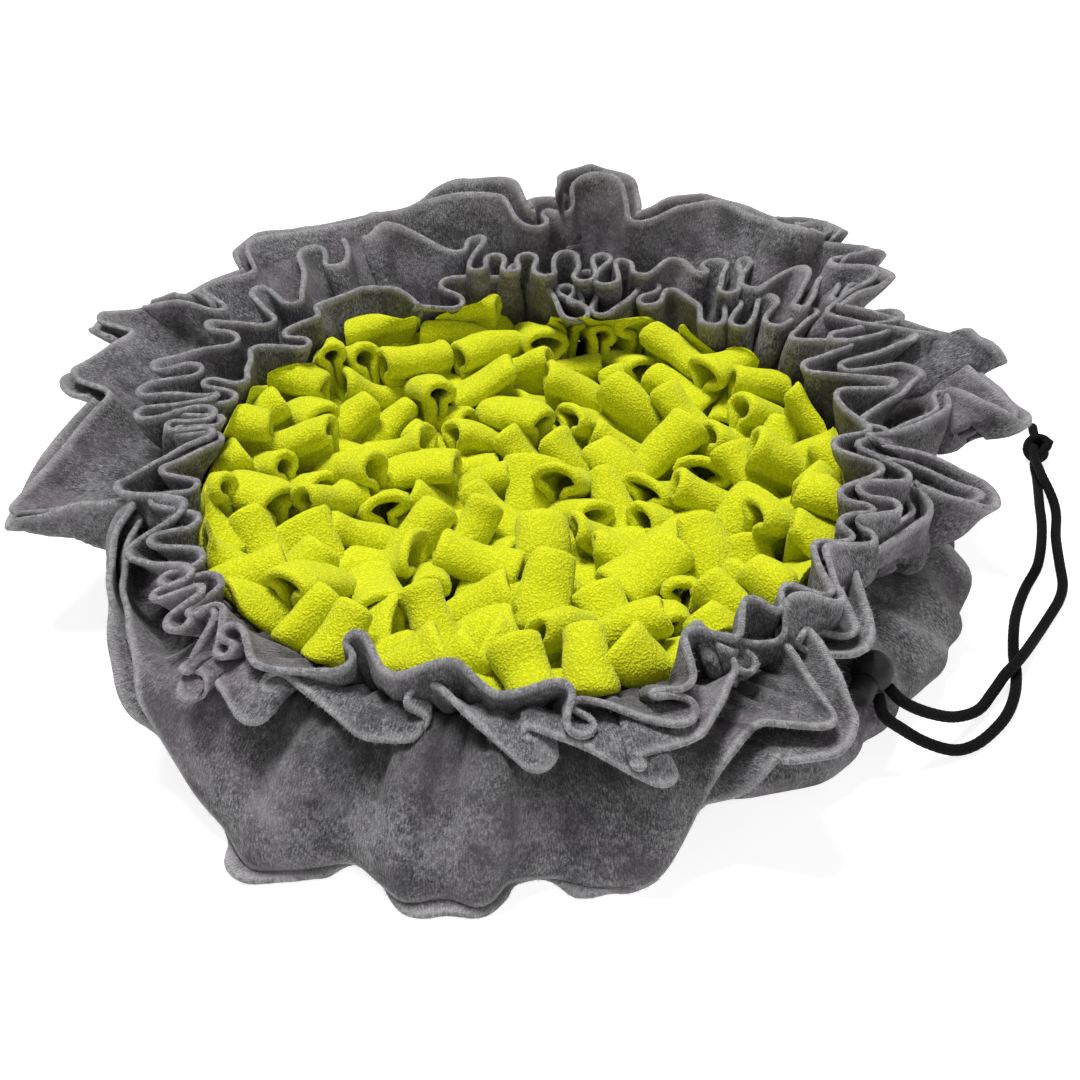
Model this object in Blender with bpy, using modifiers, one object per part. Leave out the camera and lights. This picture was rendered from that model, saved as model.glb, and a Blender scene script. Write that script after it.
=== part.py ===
"""Round fleece snuffle mat, drawn in by its cord and standing on the floor.

The mat is modelled in metres, +Z up. The origin is on the floor under the middle of the field of
loops. Azimuth is measured in degrees from +X towards +Y, so -Y (270) is the side that faces the
viewer. From the inside out the pieces are the field of loops on its backing, two gathered frills,
the outer flounce of two plies, and the base cloth, which rises from the floor to the gathered seam.
"""

import math
from typing import NamedTuple

import bmesh
import bpy
import numpy as np
from mathutils import Matrix, Vector
from mathutils.bvhtree import BVHTree

# Cloth and seam.
CLOTH = 0.0018          # thickness of one ply of fleece
CLEAR = 0.0004          # gap kept between pieces that lie on each other
SEAT = 0.0003           # gap between hard pieces that touch

# The gathered seam is a narrow ledge of the base cloth that slopes down outwards. The four
# gathered plies stand on it side by side, at these places along the slope (outer face of each).
SEAM_RADIUS = 0.1600
SEAM_HEIGHT = 0.0540
SEAM_SLOPE = math.radians(-38.0)
PLY_STEP = CLOTH + 0.0008
INNER_PLACE = PLY_STEP
MIDDLE_PLACE = 2 * PLY_STEP
UPPER_PLACE = 3 * PLY_STEP
UNDER_PLACE = 4 * PLY_STEP
SEAM_WIDTH = UNDER_PLACE + 0.0004
UNDER_GAP_AT_HEM = 0.0022
UNDER_LONGER = 0.0040   # the under ply's edge reaches past the upper ply's edge

# Base cloth.
BASE_CLOTH = 0.0025
BASE_FOOT = 0.90        # radius of the flat bottom over the radius of the widest place
BASE_BULGE_HEIGHT = 0.020
BASE_SHOULDER = 0.58    # share of the way from the rim out to the widest place, at the shoulder
BASE_SHOULDER_HEIGHT = 0.037
BASE_GATHERS = 22
BASE_GATHER_CHANGE = 0.25   # how much the gathers differ in depth
BASE_SEED = 5
BASE_SAMPLES = 44

# Field of loops.
BACKING_RADIUS = 0.1540
BACKING_BOTTOM = BASE_CLOTH + CLEAR
BACKING_TOP = BACKING_BOTTOM + 0.0025
LOOP_COUNT = 94
LOOP_WIDTH = 0.0350     # width of a fleece strip, the length of the tube that it forms
LOOP_BEND = 0.0092      # outer radius of the bend at the top
LOOP_CLOTH = 0.0025
LOOP_LEG = 0.0460       # from the backing to the middle of the bend
LOOP_ROOT_WIDTH = 0.42  # share of the strip's width that is left where it is pinched in the backing
LOOP_FIELD_RADIUS = 0.1640
LOOP_ROOT_RADIUS = 0.1470
LOOP_RIM_RISE = 0.0100  # the outermost loops stand higher, and lean outwards against the frill
LOOP_RIM_LEAN = 0.28
LOOP_SIDE = 0.84        # half width of the bend over its full radius
LOOP_SHOULDER = 0.55    # half width of the bend's flat top, as a share of its half width
LOOP_NECK_WIDTH = 0.90  # share of the strip's width at the lower end of the bend
LOOP_SUNK = 0.0012      # how far the root goes into the backing
LOOP_HOLLOW = 0.0030    # height over the backing at which the two legs part
LOOP_SHORTEST = 0.74    # shortest leg as a share of the longest
LOOP_TILT = 0.45        # most that a bend slopes along its bar
LOOP_ROUNDS = 400
LOOP_SEED = 11
LOOP_FIT_SEED = 29
LOOP_NEAR = 0.060       # loops further apart than this can't touch
LOOP_TRIES = 160
LOOP_MARGIN = 0.04      # extra size, as a share, with which a loop is tried in its place

# Gathered plies. A ply bows up from the straight line between seam and hem, by its low bow where
# the hem hangs low and by its high bow where it stands high. Its steps are the rings of the loft,
# from the seam (0) to the hem (1), and its window is the length of cloth over which the folds
# have evened out at the seam.
FLOUNCE_BOW_LOW = math.radians(58.0)
FLOUNCE_BOW_HIGH = math.radians(2.0)
FLOUNCE_STEPS = (0.0, 0.22, 0.60, 1.0)
FLOUNCE_WINDOW = 0.30
MIDDLE_BOW_LOW = math.radians(46.0)
MIDDLE_BOW_HIGH = math.radians(4.0)
MIDDLE_STEPS = (0.0, 0.5, 1.0)
INNER_BOW = 0.0
INNER_STEPS = (0.0, 0.45, 1.0)
FRILL_WINDOW = 0.11
BOW_RISE = 0.040        # height over the seam at which a hem counts as standing high
BOW_ARM = 0.35          # share of a ply's depth along which each end keeps its direction
FOLD_GROWTH = 0.8       # power of the step with which a fold turns away from its root

FLOUNCE_SPACING = 0.0260    # longest step between two samples of the flounce's hem
FRILL_FOLDS = 34
FRILL_SAMPLES_PER_FOLD = 6
FRILL_SHIFT = 0.26      # most that a fold is shifted along the seam, as a share of the pitch
FRILL_LEAN = 0.18       # most that a fold leans to one side, as a share of the pitch
FRILL_CURL_CHANGE = 0.20
FRILL_DEPTH_CHANGE = 0.32
FRILL_LIFT = 0.0040     # most that a fold stands higher or lower than its neighbours
FRILL_SEED = 86
MIDDLE_SEED = 21
INNER_SEED = 34
ROOT_SAMPLES = 600


class Fold(NamedTuple):
    """One outward fold of the flounce's hem and the inward turn after it, in degrees and metres."""

    crest_azimuth: float
    crest_half: float
    crest_reach: float
    crest_height: float
    dip_azimuth: float
    dip_half: float
    dip_reach: float
    dip_height: float


class Sector(NamedTuple):
    """How a frill lies at one azimuth: where its inner and outer turns reach, and their curl."""

    azimuth: float
    inner_reach: float
    inner_height: float
    outer_reach: float
    outer_height: float
    curl: float


class Outline(NamedTuple):
    """Radius of the base cloth's widest place at one azimuth."""

    azimuth: float
    radius: float


class Lump(NamedTuple):
    """One rounded lump of the knot: its middle, its half sizes and its turn in degrees."""

    x: float
    y: float
    z: float
    half_x: float
    half_y: float
    half_z: float
    turn: float


# Hem of the outer flounce in cloth order, once round from the right.
FLOUNCE_FOLDS = (
    Fold(352.0, 3.2, 0.2150, 0.069, 358.5, 1.7, 0.1900, 0.078),
    Fold(367.0, 3.5, 0.2460, 0.074, 374.0, 1.8, 0.2050, 0.086),
    Fold(381.5, 3.5, 0.2620, 0.087, 390.0, 2.5, 0.2120, 0.098),
    Fold(396.0, 2.0, 0.2400, 0.104, 400.9, 1.6, 0.2260, 0.106),
    Fold(410.0, 4.5, 0.2540, 0.115, 418.0, 1.6, 0.2370, 0.115),
    Fold(423.0, 2.0, 0.2470, 0.119, 431.0, 2.3, 0.2140, 0.110),
    Fold(438.5, 3.6, 0.2260, 0.130, 445.3, 1.7, 0.2110, 0.112),
    Fold(451.0, 2.2, 0.2170, 0.114, 456.0, 1.6, 0.2110, 0.112),
    Fold(462.5, 3.2, 0.2220, 0.122, 470.0, 1.8, 0.2130, 0.111),
    Fold(480.0, 4.0, 0.2180, 0.110, 489.0, 1.7, 0.2100, 0.107),
    Fold(494.0, 1.6, 0.2280, 0.111, 498.8, 1.6, 0.2140, 0.099),
    Fold(504.6, 1.8, 0.2280, 0.110, 509.6, 1.6, 0.2160, 0.098),
    Fold(515.0, 1.8, 0.2430, 0.098, 519.4, 1.5, 0.2230, 0.090),
    Fold(524.2, 2.0, 0.2420, 0.092, 531.0, 1.8, 0.2120, 0.077),
    Fold(545.0, 2.8, 0.2400, 0.062, 551.5, 1.8, 0.2050, 0.069),
    Fold(557.5, 1.8, 0.2020, 0.062, 563.5, 1.8, 0.1960, 0.054),
    Fold(573.5, 3.5, 0.2070, 0.030, 584.0, 2.5, 0.2100, 0.016),
    Fold(603.5, 3.5, 0.2310, 0.003, 612.5, 2.5, 0.2160, 0.004),
    Fold(622.5, 3.0, 0.2250, 0.003, 632.5, 3.0, 0.2100, 0.004),
    Fold(644.5, 3.0, 0.2190, 0.004, 655.5, 2.2, 0.2000, 0.034),
    Fold(664.5, 2.0, 0.2150, 0.048, 670.5, 1.8, 0.1890, 0.061),
    Fold(679.5, 2.6, 0.1980, 0.062, 690.0, 4.0, 0.1920, 0.069),
)

# Lie of the two frills, once round from the right.
INNER_FRILL = (
    Sector(0.0, 0.1575, 0.077, 0.1700, 0.083, 0.040),
    Sector(45.0, 0.1585, 0.075, 0.1710, 0.085, 0.052),
    Sector(90.0, 0.1585, 0.074, 0.1710, 0.086, 0.052),
    Sector(135.0, 0.1585, 0.074, 0.1710, 0.083, 0.052),
    Sector(180.0, 0.1575, 0.074, 0.1700, 0.080, 0.048),
    Sector(225.0, 0.1585, 0.073, 0.1710, 0.075, 0.042),
    Sector(270.0, 0.1600, 0.072, 0.1740, 0.071, 0.036),
    Sector(315.0, 0.1575, 0.074, 0.1690, 0.078, 0.042),
)
MIDDLE_FRILL = (
    Sector(0.0, 0.1750, 0.084, 0.1860, 0.089, 0.040),
    Sector(45.0, 0.1800, 0.091, 0.1950, 0.098, 0.052),
    Sector(90.0, 0.1800, 0.093, 0.1950, 0.100, 0.052),
    Sector(135.0, 0.1800, 0.089, 0.1950, 0.096, 0.052),
    Sector(180.0, 0.1760, 0.083, 0.1900, 0.088, 0.048),
    Sector(225.0, 0.1770, 0.074, 0.1980, 0.067, 0.042),
    Sector(270.0, 0.1800, 0.067, 0.2090, 0.050, 0.036),
    Sector(315.0, 0.1750, 0.077, 0.1860, 0.079, 0.042),
)

# Widest place of the base cloth: out at the right, in where the flounce hangs over it.
BASE_OUTLINE = (
    Outline(0.0, 0.2200),
    Outline(30.0, 0.2080),
    Outline(90.0, 0.1980),
    Outline(150.0, 0.1960),
    Outline(210.0, 0.1900),
    Outline(270.0, 0.1900),
    Outline(294.0, 0.1890),
    Outline(300.0, 0.1960),
    Outline(307.0, 0.2080),
    Outline(320.0, 0.2060),
    Outline(334.0, 0.2120),
    Outline(346.0, 0.2200),
)

# Cord lock, seated on the wall just under the flounce's hem, and the way its button points.
LOCK_CENTRE = (0.1493, -0.1278, 0.0429)
LOCK_RADIUS = 0.0092
LOCK_FACE = 0.0076      # from the centre to the flat face under the button
BUTTON_WAY = (-0.50, -0.85, -0.15)
BUTTON_RADIUS = 0.0058
BUTTON_END = 0.0172     # from the lock's centre to the end of the button

# Routes of the two strands from the lock to the knot. The upper strand crosses over the lower one
# in a long low hump, and lies on it where both go into the knot.
CORD_RADIUS = 0.00265
ON_FLOOR = CORD_RADIUS + 0.0002
UPPER_ROUTE = (
    (0.1624, -0.1339, 0.0315), (0.1747, -0.1301, 0.0220), (0.1904, -0.1215, 0.0115),
    (0.2050, -0.1095, 0.0050), (0.2145, -0.0975, 0.0050), (0.2220, -0.0885, 0.0080),
    (0.2290, -0.0810, 0.0088), (0.2362, -0.0710, 0.0075), (0.2461, -0.0553, 0.0040),
    (0.2569, -0.0389, ON_FLOOR), (0.2657, -0.0252, ON_FLOOR), (0.2713, -0.0120, ON_FLOOR),
    (0.2750, 0.0071, ON_FLOOR), (0.2795, 0.0295, ON_FLOOR), (0.2850, 0.0480, ON_FLOOR),
    (0.2868, 0.0590, 0.0040), (0.2862, 0.0690, 0.0066), (0.2850, 0.0780, 0.0086),
    (0.2852, 0.0880, 0.0089),
)
LOWER_ROUTE = (
    (0.1533, -0.1410, 0.0300), (0.1627, -0.1400, 0.0210), (0.1747, -0.1380, 0.0115),
    (0.1880, -0.1352, 0.0045), (0.1985, -0.1305, ON_FLOOR), (0.2085, -0.1220, ON_FLOOR),
    (0.2180, -0.1105, ON_FLOOR), (0.2252, -0.0965, ON_FLOOR), (0.2298, -0.0815, ON_FLOOR),
    (0.2325, -0.0660, ON_FLOOR), (0.2385, -0.0444, ON_FLOOR), (0.2450, -0.0284, ON_FLOOR),
    (0.2522, -0.0144, ON_FLOOR), (0.2623, 0.0027, ON_FLOOR), (0.2695, 0.0213, ON_FLOOR),
    (0.2755, 0.0420, ON_FLOOR), (0.2792, 0.0599, ON_FLOOR), (0.2825, 0.0748, ON_FLOOR),
    (0.2855, 0.0888, ON_FLOOR),
)
STRAND_POINTS = 26      # places on each strand, about two and a half diameters apart

# The knot's lumps, each with its middle, its half sizes and its turn about the vertical.
KNOT_LUMPS = (
    Lump(0.2862, 0.0985, 0.0062, 0.0058, 0.0098, 0.0060, -8.0),
    Lump(0.2905, 0.1125, 0.0078, 0.0078, 0.0090, 0.0072, -20.0),
    Lump(0.2995, 0.1190, 0.0066, 0.0058, 0.0052, 0.0056, 20.0),
    Lump(0.2925, 0.1260, 0.0105, 0.0036, 0.0090, 0.0036, 10.0),
)


# ---------------------------------------------------------------------------------------------
# Helpers
# ---------------------------------------------------------------------------------------------

def make_collection(name):
    """Return a new collection in the scene."""
    collection = bpy.data.collections.new(name)
    bpy.context.scene.collection.children.link(collection)
    return collection


def make_material(name, color, roughness):
    """Return a matt or satin material with one colour (linear RGB)."""
    material = bpy.data.materials.new(name)
    material.use_nodes = True
    shader = material.node_tree.nodes["Principled BSDF"]
    shader.inputs["Base Color"].default_value = (*color, 1.0)
    shader.inputs["Roughness"].default_value = roughness
    shader.inputs["Metallic"].default_value = 0.0
    material.diffuse_color = (*color, 1.0)
    return material


def add_object(name, data, collection, material):
    """Put mesh or curve data into the collection as a named object."""
    data.materials.append(material)
    piece = bpy.data.objects.new(name, data)
    collection.objects.link(piece)
    return piece


def to_xyz(azimuth, radius, height):
    """Turn azimuth (radians), radius and height arrays into an array of points."""
    return np.stack([radius * np.cos(azimuth), radius * np.sin(azimuth), height], axis=-1)


def periodic(rows, field, azimuth):
    """Read one column of an azimuth table at any azimuth, smoothly and once round.

    The rows are joined by a cubic that passes through each of them, with the slope there taken
    from its two neighbours.
    """
    places = np.radians([row.azimuth for row in rows])
    values = np.array([getattr(row, field) for row in rows])
    turn = 2 * math.pi
    places = np.concatenate([places - turn, places, places + turn])
    values = np.tile(values, 3)
    slopes = np.gradient(values, places)
    azimuth = np.mod(azimuth, turn)
    right = np.searchsorted(places, azimuth, side="right")
    left = right - 1
    span = places[right] - places[left]
    t = (azimuth - places[left]) / span
    return ((2 * t**3 - 3 * t**2 + 1) * values[left] + (t**3 - 2 * t**2 + t) * span * slopes[left]
            + (3 * t**2 - 2 * t**3) * values[right] + (t**3 - t**2) * span * slopes[right])


def loft_rings(work, rings):
    """Join rings of points into bands of faces, and return the rings' vertices."""
    verts = [[work.verts.new(point) for point in ring] for ring in rings]
    count = len(rings[0])
    for low, high in zip(verts, verts[1:]):
        for j in range(count):
            k = (j + 1) % count
            work.faces.new((low[j], low[k], high[k], high[j]))
    return verts


def cloth_ring(name, outer, collection, material):
    """Build one gathered ply as a loft round its section.

    outer is the grid of its outer face, a ring of points for each step from the root to the hem.
    The inner face lies one thickness inside it, and at the root along the seam's slope.
    """
    inner = outer - CLOTH * ply_normals(outer)
    work = bmesh.new()
    outside = [[work.verts.new(point) for point in ring] for ring in outer]
    inside = [[work.verts.new(point) for point in ring] for ring in inner]
    count = len(outside[0])
    for i in range(len(outside) - 1):
        for j in range(count):
            k = (j + 1) % count
            shorter = (outer[i, j] - outer[i + 1, k], outer[i, k] - outer[i + 1, j])
            turned = np.linalg.norm(shorter[0]) > np.linalg.norm(shorter[1])
            for verts, flip in ((outside, False), (inside, True)):
                corners = (verts[i][j], verts[i][k], verts[i + 1][k], verts[i + 1][j])
                for corner in ((1, 2, 3), (1, 3, 0)) if turned else ((0, 1, 2), (0, 2, 3)):
                    face = [corners[c] for c in corner]
                    work.faces.new(reversed(face) if flip else face)
    for j in range(count):
        k = (j + 1) % count
        work.faces.new((outside[0][k], outside[0][j], inside[0][j], inside[0][k]))
        work.faces.new((outside[-1][j], outside[-1][k], inside[-1][k], inside[-1][j]))
    mesh = bpy.data.meshes.new(name)
    work.to_mesh(mesh)
    work.free()
    mesh.shade_smooth()
    mesh.set_sharp_from_angle(angle=math.radians(50.0))
    return add_object(name, mesh, collection, material)


# ---------------------------------------------------------------------------------------------
# Gathered plies
# ---------------------------------------------------------------------------------------------

def smooth_loop(points, spacing):
    """Return a smooth closed curve through points, with steps of at most about spacing.

    This is a centripetal Catmull-Rom curve, which doesn't overshoot at the narrow turns. The
    last point is followed by the first one, a full turn of azimuth further on.
    """
    turn = np.array([2 * math.pi, 0.0, 0.0])
    ring = np.vstack([points[-1] - turn, points, points[0] + turn, points[1] + turn])
    curve = []
    for i in range(len(points)):
        p0, p1, p2, p3 = ring[i:i + 4]
        scale = np.array([0.5 * (p1[1] + p2[1]), 1.0, 1.0])
        t1 = np.linalg.norm((p1 - p0) * scale) ** 0.5
        t2 = t1 + np.linalg.norm((p2 - p1) * scale) ** 0.5
        t3 = t2 + np.linalg.norm((p3 - p2) * scale) ** 0.5
        count = max(1, math.ceil((t2 - t1) ** 2 / spacing))
        for t in np.linspace(t1, t2, count, endpoint=False):
            a1 = (t1 - t) / t1 * p0 + t / t1 * p1
            a2 = (t2 - t) / (t2 - t1) * p1 + (t - t1) / (t2 - t1) * p2
            a3 = (t3 - t) / (t3 - t2) * p2 + (t - t2) / (t3 - t2) * p3
            b1 = (t2 - t) / t2 * a1 + t / t2 * a2
            b2 = (t3 - t) / (t3 - t1) * a2 + (t - t1) / (t3 - t1) * a3
            curve.append((t2 - t) / (t2 - t1) * b1 + (t - t1) / (t2 - t1) * b2)
    return np.array(curve)


def flounce_hem(folds, spacing):
    """Return the hem of the outer flounce as rows of azimuth, radius and height."""
    turns = []
    for fold in folds:
        for azimuth, half, reach, height in (fold[:4], fold[4:]):
            turns.append((math.radians(azimuth - half), reach, height))
            turns.append((math.radians(azimuth + half), reach, height))
    return smooth_loop(np.array(turns), spacing)


def frill_hem(sectors, folds, per_fold, seed):
    """Return the hem of a frill, whose folds come back over each other like an omega.

    Both frills are gathered into one seam and lie in each other's folds, so they share the pitch,
    lean and depth of each fold. These differ from fold to fold, as does the height, which each
    frill has of its own.
    """
    shift, lean, depth = np.random.default_rng(FRILL_SEED).uniform(-1.0, 1.0, (3, folds))
    lift = np.random.default_rng(seed).uniform(-1.0, 1.0, folds)
    place = np.arange(folds * per_fold) / per_fold
    phase = 2 * math.pi * place

    def vary(values):
        """Blend a value of each fold into the next one, over the fold's length."""
        left = np.floor(place).astype(int)
        blend = 0.5 - 0.5 * np.cos(math.pi * (place - left))
        return values[left] * (1 - blend) + values[(left + 1) % folds] * blend

    pitch = 2 * math.pi / folds
    middle = pitch * (place + FRILL_SHIFT * vary(shift))
    curl = periodic(sectors, "curl", middle) * (1.0 + FRILL_CURL_CHANGE * vary(depth))
    azimuth = middle + pitch * (2 * curl * np.sin(2 * phase)
                                + FRILL_LEAN * vary(lean) * np.cos(phase))
    out = 0.5 + 0.5 * np.cos(phase) * (1.0 + FRILL_DEPTH_CHANGE * vary(depth))
    inner = periodic(sectors, "inner_reach", middle)
    outer = periodic(sectors, "outer_reach", middle)
    low = periodic(sectors, "inner_height", middle)
    high = periodic(sectors, "outer_height", middle)
    radius = inner + (outer - inner) * out
    height = low + (high - low) * out + FRILL_LIFT * vary(lift)
    return np.stack([azimuth, radius, height], axis=-1)


def gathered_root(hem, window):
    """Spread the cloth evenly along the seam: a mean of the hem's azimuth over a window of cloth."""
    closed = np.vstack([hem, hem[0] + [2 * math.pi, 0.0, 0.0]])
    steps = np.linalg.norm(np.diff(to_xyz(*closed.T), axis=0), axis=1)
    length = np.concatenate([[0.0], np.cumsum(steps)])
    even = np.linspace(0.0, length[-1], ROOT_SAMPLES, endpoint=False)
    azimuth = np.interp(even, length, closed[:, 0])
    turn = 2 * math.pi
    long = np.concatenate([azimuth - turn, azimuth, azimuth + turn])
    kernel = np.hanning(2 * round(0.5 * window / length[-1] * ROOT_SAMPLES) + 3)[1:-1]
    smooth = np.convolve(long, kernel / kernel.sum(), mode="same")[ROOT_SAMPLES:2 * ROOT_SAMPLES]
    smooth = np.append(smooth, smooth[0] + turn)
    return np.interp(length[:-1], np.append(even, length[-1]), smooth)


def seam_point(place):
    """Return radius and height of a place on the seam's slope, just above the ledge."""
    return (SEAM_RADIUS + place * math.cos(SEAM_SLOPE) - CLEAR * math.sin(SEAM_SLOPE),
            SEAM_HEIGHT + place * math.sin(SEAM_SLOPE) + CLEAR * math.cos(SEAM_SLOPE))


def hang_ply(hem, place, bow_low, bow_high, steps, window):
    """Return the grid of one ply's outer face, from its root in the seam to its hem.

    hem holds rows of azimuth, radius and height, and place is the ply's place on the seam's
    slope. The folds grow from the seam to the hem.
    """
    azimuth, radius, height = hem.T
    root = gathered_root(hem, window)
    start_radius, start_height = seam_point(place)
    start = np.stack([np.full_like(radius, start_radius), np.full_like(radius, start_height)])
    end = np.stack([radius, height])
    chord = end - start
    reach = np.linalg.norm(chord, axis=0)
    slope = np.arctan2(chord[1], chord[0])
    high = np.clip((height - SEAM_HEIGHT) / BOW_RISE, 0.0, 1.0)
    bow = bow_low + (bow_high - bow_low) * high
    first = start + BOW_ARM * reach * np.stack([np.cos(slope + bow), np.sin(slope + bow)])
    last = end - BOW_ARM * reach * np.stack([np.cos(slope - bow), np.sin(slope - bow)])
    grid = []
    for t in steps:
        profile = ((1 - t)**3 * start + 3 * (1 - t)**2 * t * first
                   + 3 * (1 - t) * t**2 * last + t**3 * end)
        turned = root + (azimuth - root) * t**FOLD_GROWTH
        grid.append(to_xyz(turned, profile[0], profile[1]))
    return np.array(grid)


def ply_normals(grid):
    """Return the directions across a ply, outwards: its normals, and the seam's slope at its root."""
    ahead = np.roll(grid, -1, axis=1) - grid
    ahead /= np.linalg.norm(ahead, axis=-1, keepdims=True)
    along = ahead + np.roll(ahead, 1, axis=1)
    up = np.gradient(grid, axis=0)
    normals = np.cross(along, up)
    normals /= np.linalg.norm(normals, axis=-1, keepdims=True)
    azimuth = np.arctan2(grid[0, :, 1], grid[0, :, 0])
    slope = np.full_like(azimuth, math.sin(SEAM_SLOPE))
    normals[0] = to_xyz(azimuth, math.cos(SEAM_SLOPE), slope)
    return normals


def under_ply(grid, steps):
    """Return the outer face of the under ply, which lies along the upper ply's outer face."""
    seam_gap = PLY_STEP - CLOTH
    gap = seam_gap + (UNDER_GAP_AT_HEM - seam_gap) * np.array(steps)
    under = grid + ply_normals(grid) * (gap + CLOTH)[:, None, None]
    last = under[-1] - under[-2]
    last /= np.linalg.norm(last, axis=-1, keepdims=True)
    under[-1] += UNDER_LONGER * last
    under[..., 2] = np.maximum(under[..., 2], CLEAR)
    return under


# ---------------------------------------------------------------------------------------------
# Base cloth
# ---------------------------------------------------------------------------------------------

def base_rings():
    """Return the rings of the base cloth's outer face, from the foot up and over the ledge."""
    azimuth = np.linspace(0.0, 2 * math.pi, BASE_SAMPLES, endpoint=False)
    widest = periodic(BASE_OUTLINE, "radius", azimuth)
    change = BASE_GATHER_CHANGE * np.random.default_rng(BASE_SEED).uniform(-1, 1, BASE_SAMPLES)
    gathers = np.cos(BASE_GATHERS * azimuth) * (1.0 - BASE_GATHER_CHANGE + change)
    rim_radius = SEAM_RADIUS + SEAM_WIDTH * math.cos(SEAM_SLOPE)
    rim_height = SEAM_HEIGHT + SEAM_WIDTH * math.sin(SEAM_SLOPE)
    # radius, height and depth of the gathers
    rows = (
        (BASE_FOOT * widest, 0.0, 0.0),
        (0.975 * widest, 0.0055, 0.0008),
        (widest, BASE_BULGE_HEIGHT, 0.0016),
        (rim_radius + BASE_SHOULDER * (widest - rim_radius), BASE_SHOULDER_HEIGHT, 0.0014),
        (rim_radius, rim_height, 0.0),
        (SEAM_RADIUS, SEAM_HEIGHT, 0.0),
    )
    return [to_xyz(azimuth, radius + depth * gathers, np.full(BASE_SAMPLES, height))
            for radius, height, depth in rows]


def build_base_shell(collection, material):
    """Build the base cloth: flat bottom, bulging wall and the ledge of the gathered seam."""
    work = bmesh.new()
    verts = loft_rings(work, base_rings())
    work.faces.new(list(reversed(verts[0])))
    mesh = bpy.data.meshes.new("base_shell")
    work.to_mesh(mesh)
    work.free()
    mesh.shade_smooth()
    piece = add_object("base_shell", mesh, collection, material)
    solidify = piece.modifiers.new("Cloth thickness", 'SOLIDIFY')
    solidify.thickness = BASE_CLOTH
    solidify.offset = -1.0
    return piece


# ---------------------------------------------------------------------------------------------
# Field of loops
# ---------------------------------------------------------------------------------------------

def loop_roots(rng):
    """Return the holes of the backing that the strips are pulled through, on a sunflower grid."""
    k = np.arange(LOOP_COUNT) + 0.5
    radius = LOOP_ROOT_RADIUS * np.sqrt(k / LOOP_COUNT)
    azimuth = k * math.pi * (3 - math.sqrt(5))
    shake = rng.uniform(-0.0015, 0.0015, (LOOP_COUNT, 2))
    return np.stack([radius * np.cos(azimuth), radius * np.sin(azimuth)], axis=-1) + shake


def nearest_between(a, b, c, d):
    """Return the shares s and t of segments a-b and c-d where the two come nearest."""
    u, v, w = b - a, d - c, a - c
    uu, uv, vv = (u * u).sum(-1), (u * v).sum(-1), (v * v).sum(-1)
    uw, vw = (u * w).sum(-1), (v * w).sum(-1)
    flat = np.maximum(uu * vv - uv * uv, 1e-12)
    s = np.clip((uv * vw - vv * uw) / flat, 0.0, 1.0)
    t = np.clip((uv * s + vw) / vv, 0.0, 1.0)
    s = np.clip((uv * t - uw) / uu, 0.0, 1.0)
    return s, t


def settle_loops():
    """Let the bends of the loops push each other apart until they lie side by side.

    Each bend is a rounded bar between two ends, held at a leg's length from its root. Returns the
    roots and the two ends of each bar.
    """
    rng = np.random.default_rng(LOOP_SEED)
    flat = loop_roots(rng)
    root = np.column_stack([flat, np.full(LOOP_COUNT, BACKING_TOP)])
    rim = (np.linalg.norm(flat, axis=1) / LOOP_ROOT_RADIUS) ** 2
    leg = LOOP_LEG * rng.uniform(LOOP_SHORTEST, 1.0, LOOP_COUNT) + LOOP_RIM_RISE * rim
    heading = rng.uniform(0.0, math.pi, LOOP_COUNT)
    half = 0.5 * LOOP_WIDTH - 0.5 * LOOP_BEND
    bar = half * np.stack([np.cos(heading), np.sin(heading), rng.uniform(-0.5, 0.5, LOOP_COUNT)],
                          axis=-1)
    outward = np.column_stack([flat * LOOP_RIM_LEAN / LOOP_ROOT_RADIUS, np.ones(LOOP_COUNT)])
    middle = root + outward * leg[:, None]
    ends = np.stack([middle - bar, middle + bar])
    first, second = np.triu_indices(LOOP_COUNT, 1)
    for _ in range(LOOP_ROUNDS):
        a, b, c, d = ends[0][first], ends[1][first], ends[0][second], ends[1][second]
        s, t = nearest_between(a, b, c, d)
        apart = (a + (b - a) * s[:, None]) - (c + (d - c) * t[:, None])
        distance = np.maximum(np.linalg.norm(apart, axis=1), 1e-6)
        push = np.maximum(2 * LOOP_BEND + CLEAR - distance, 0.0) / distance
        push = 0.28 * apart * push[:, None]
        for side, share in ((0, 1 - s), (1, s)):
            np.add.at(ends[side], first, push * share[:, None])
        for side, share in ((0, 1 - t), (1, t)):
            np.add.at(ends[side], second, -push * share[:, None])
        hold_loops(ends, root, leg, half)
    return root, ends


def hold_loops(ends, root, leg, half):
    """Keep each bar its own length, at its leg's length from its root, and inside the field."""
    middle = 0.5 * (ends[0] + ends[1])
    bar = 0.5 * (ends[1] - ends[0])
    bar[:, 2] = np.clip(bar[:, 2], -LOOP_TILT * half, LOOP_TILT * half)
    bar *= half / np.linalg.norm(bar, axis=1, keepdims=True)
    reach = middle - root
    middle = root + reach * (leg / np.linalg.norm(reach, axis=1))[:, None]
    middle[:, 2] = np.maximum(middle[:, 2], BACKING_TOP + 1.6 * LOOP_BEND)
    far = np.linalg.norm(middle[:, :2], axis=1) + np.abs(
        (middle[:, :2] * bar[:, :2]).sum(1)) / np.linalg.norm(middle[:, :2], axis=1)
    pull = np.minimum(1.0, (LOOP_FIELD_RADIUS - LOOP_BEND) / far)
    middle[:, :2] *= pull[:, None]
    ends[0], ends[1] = middle - bar, middle + bar


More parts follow.
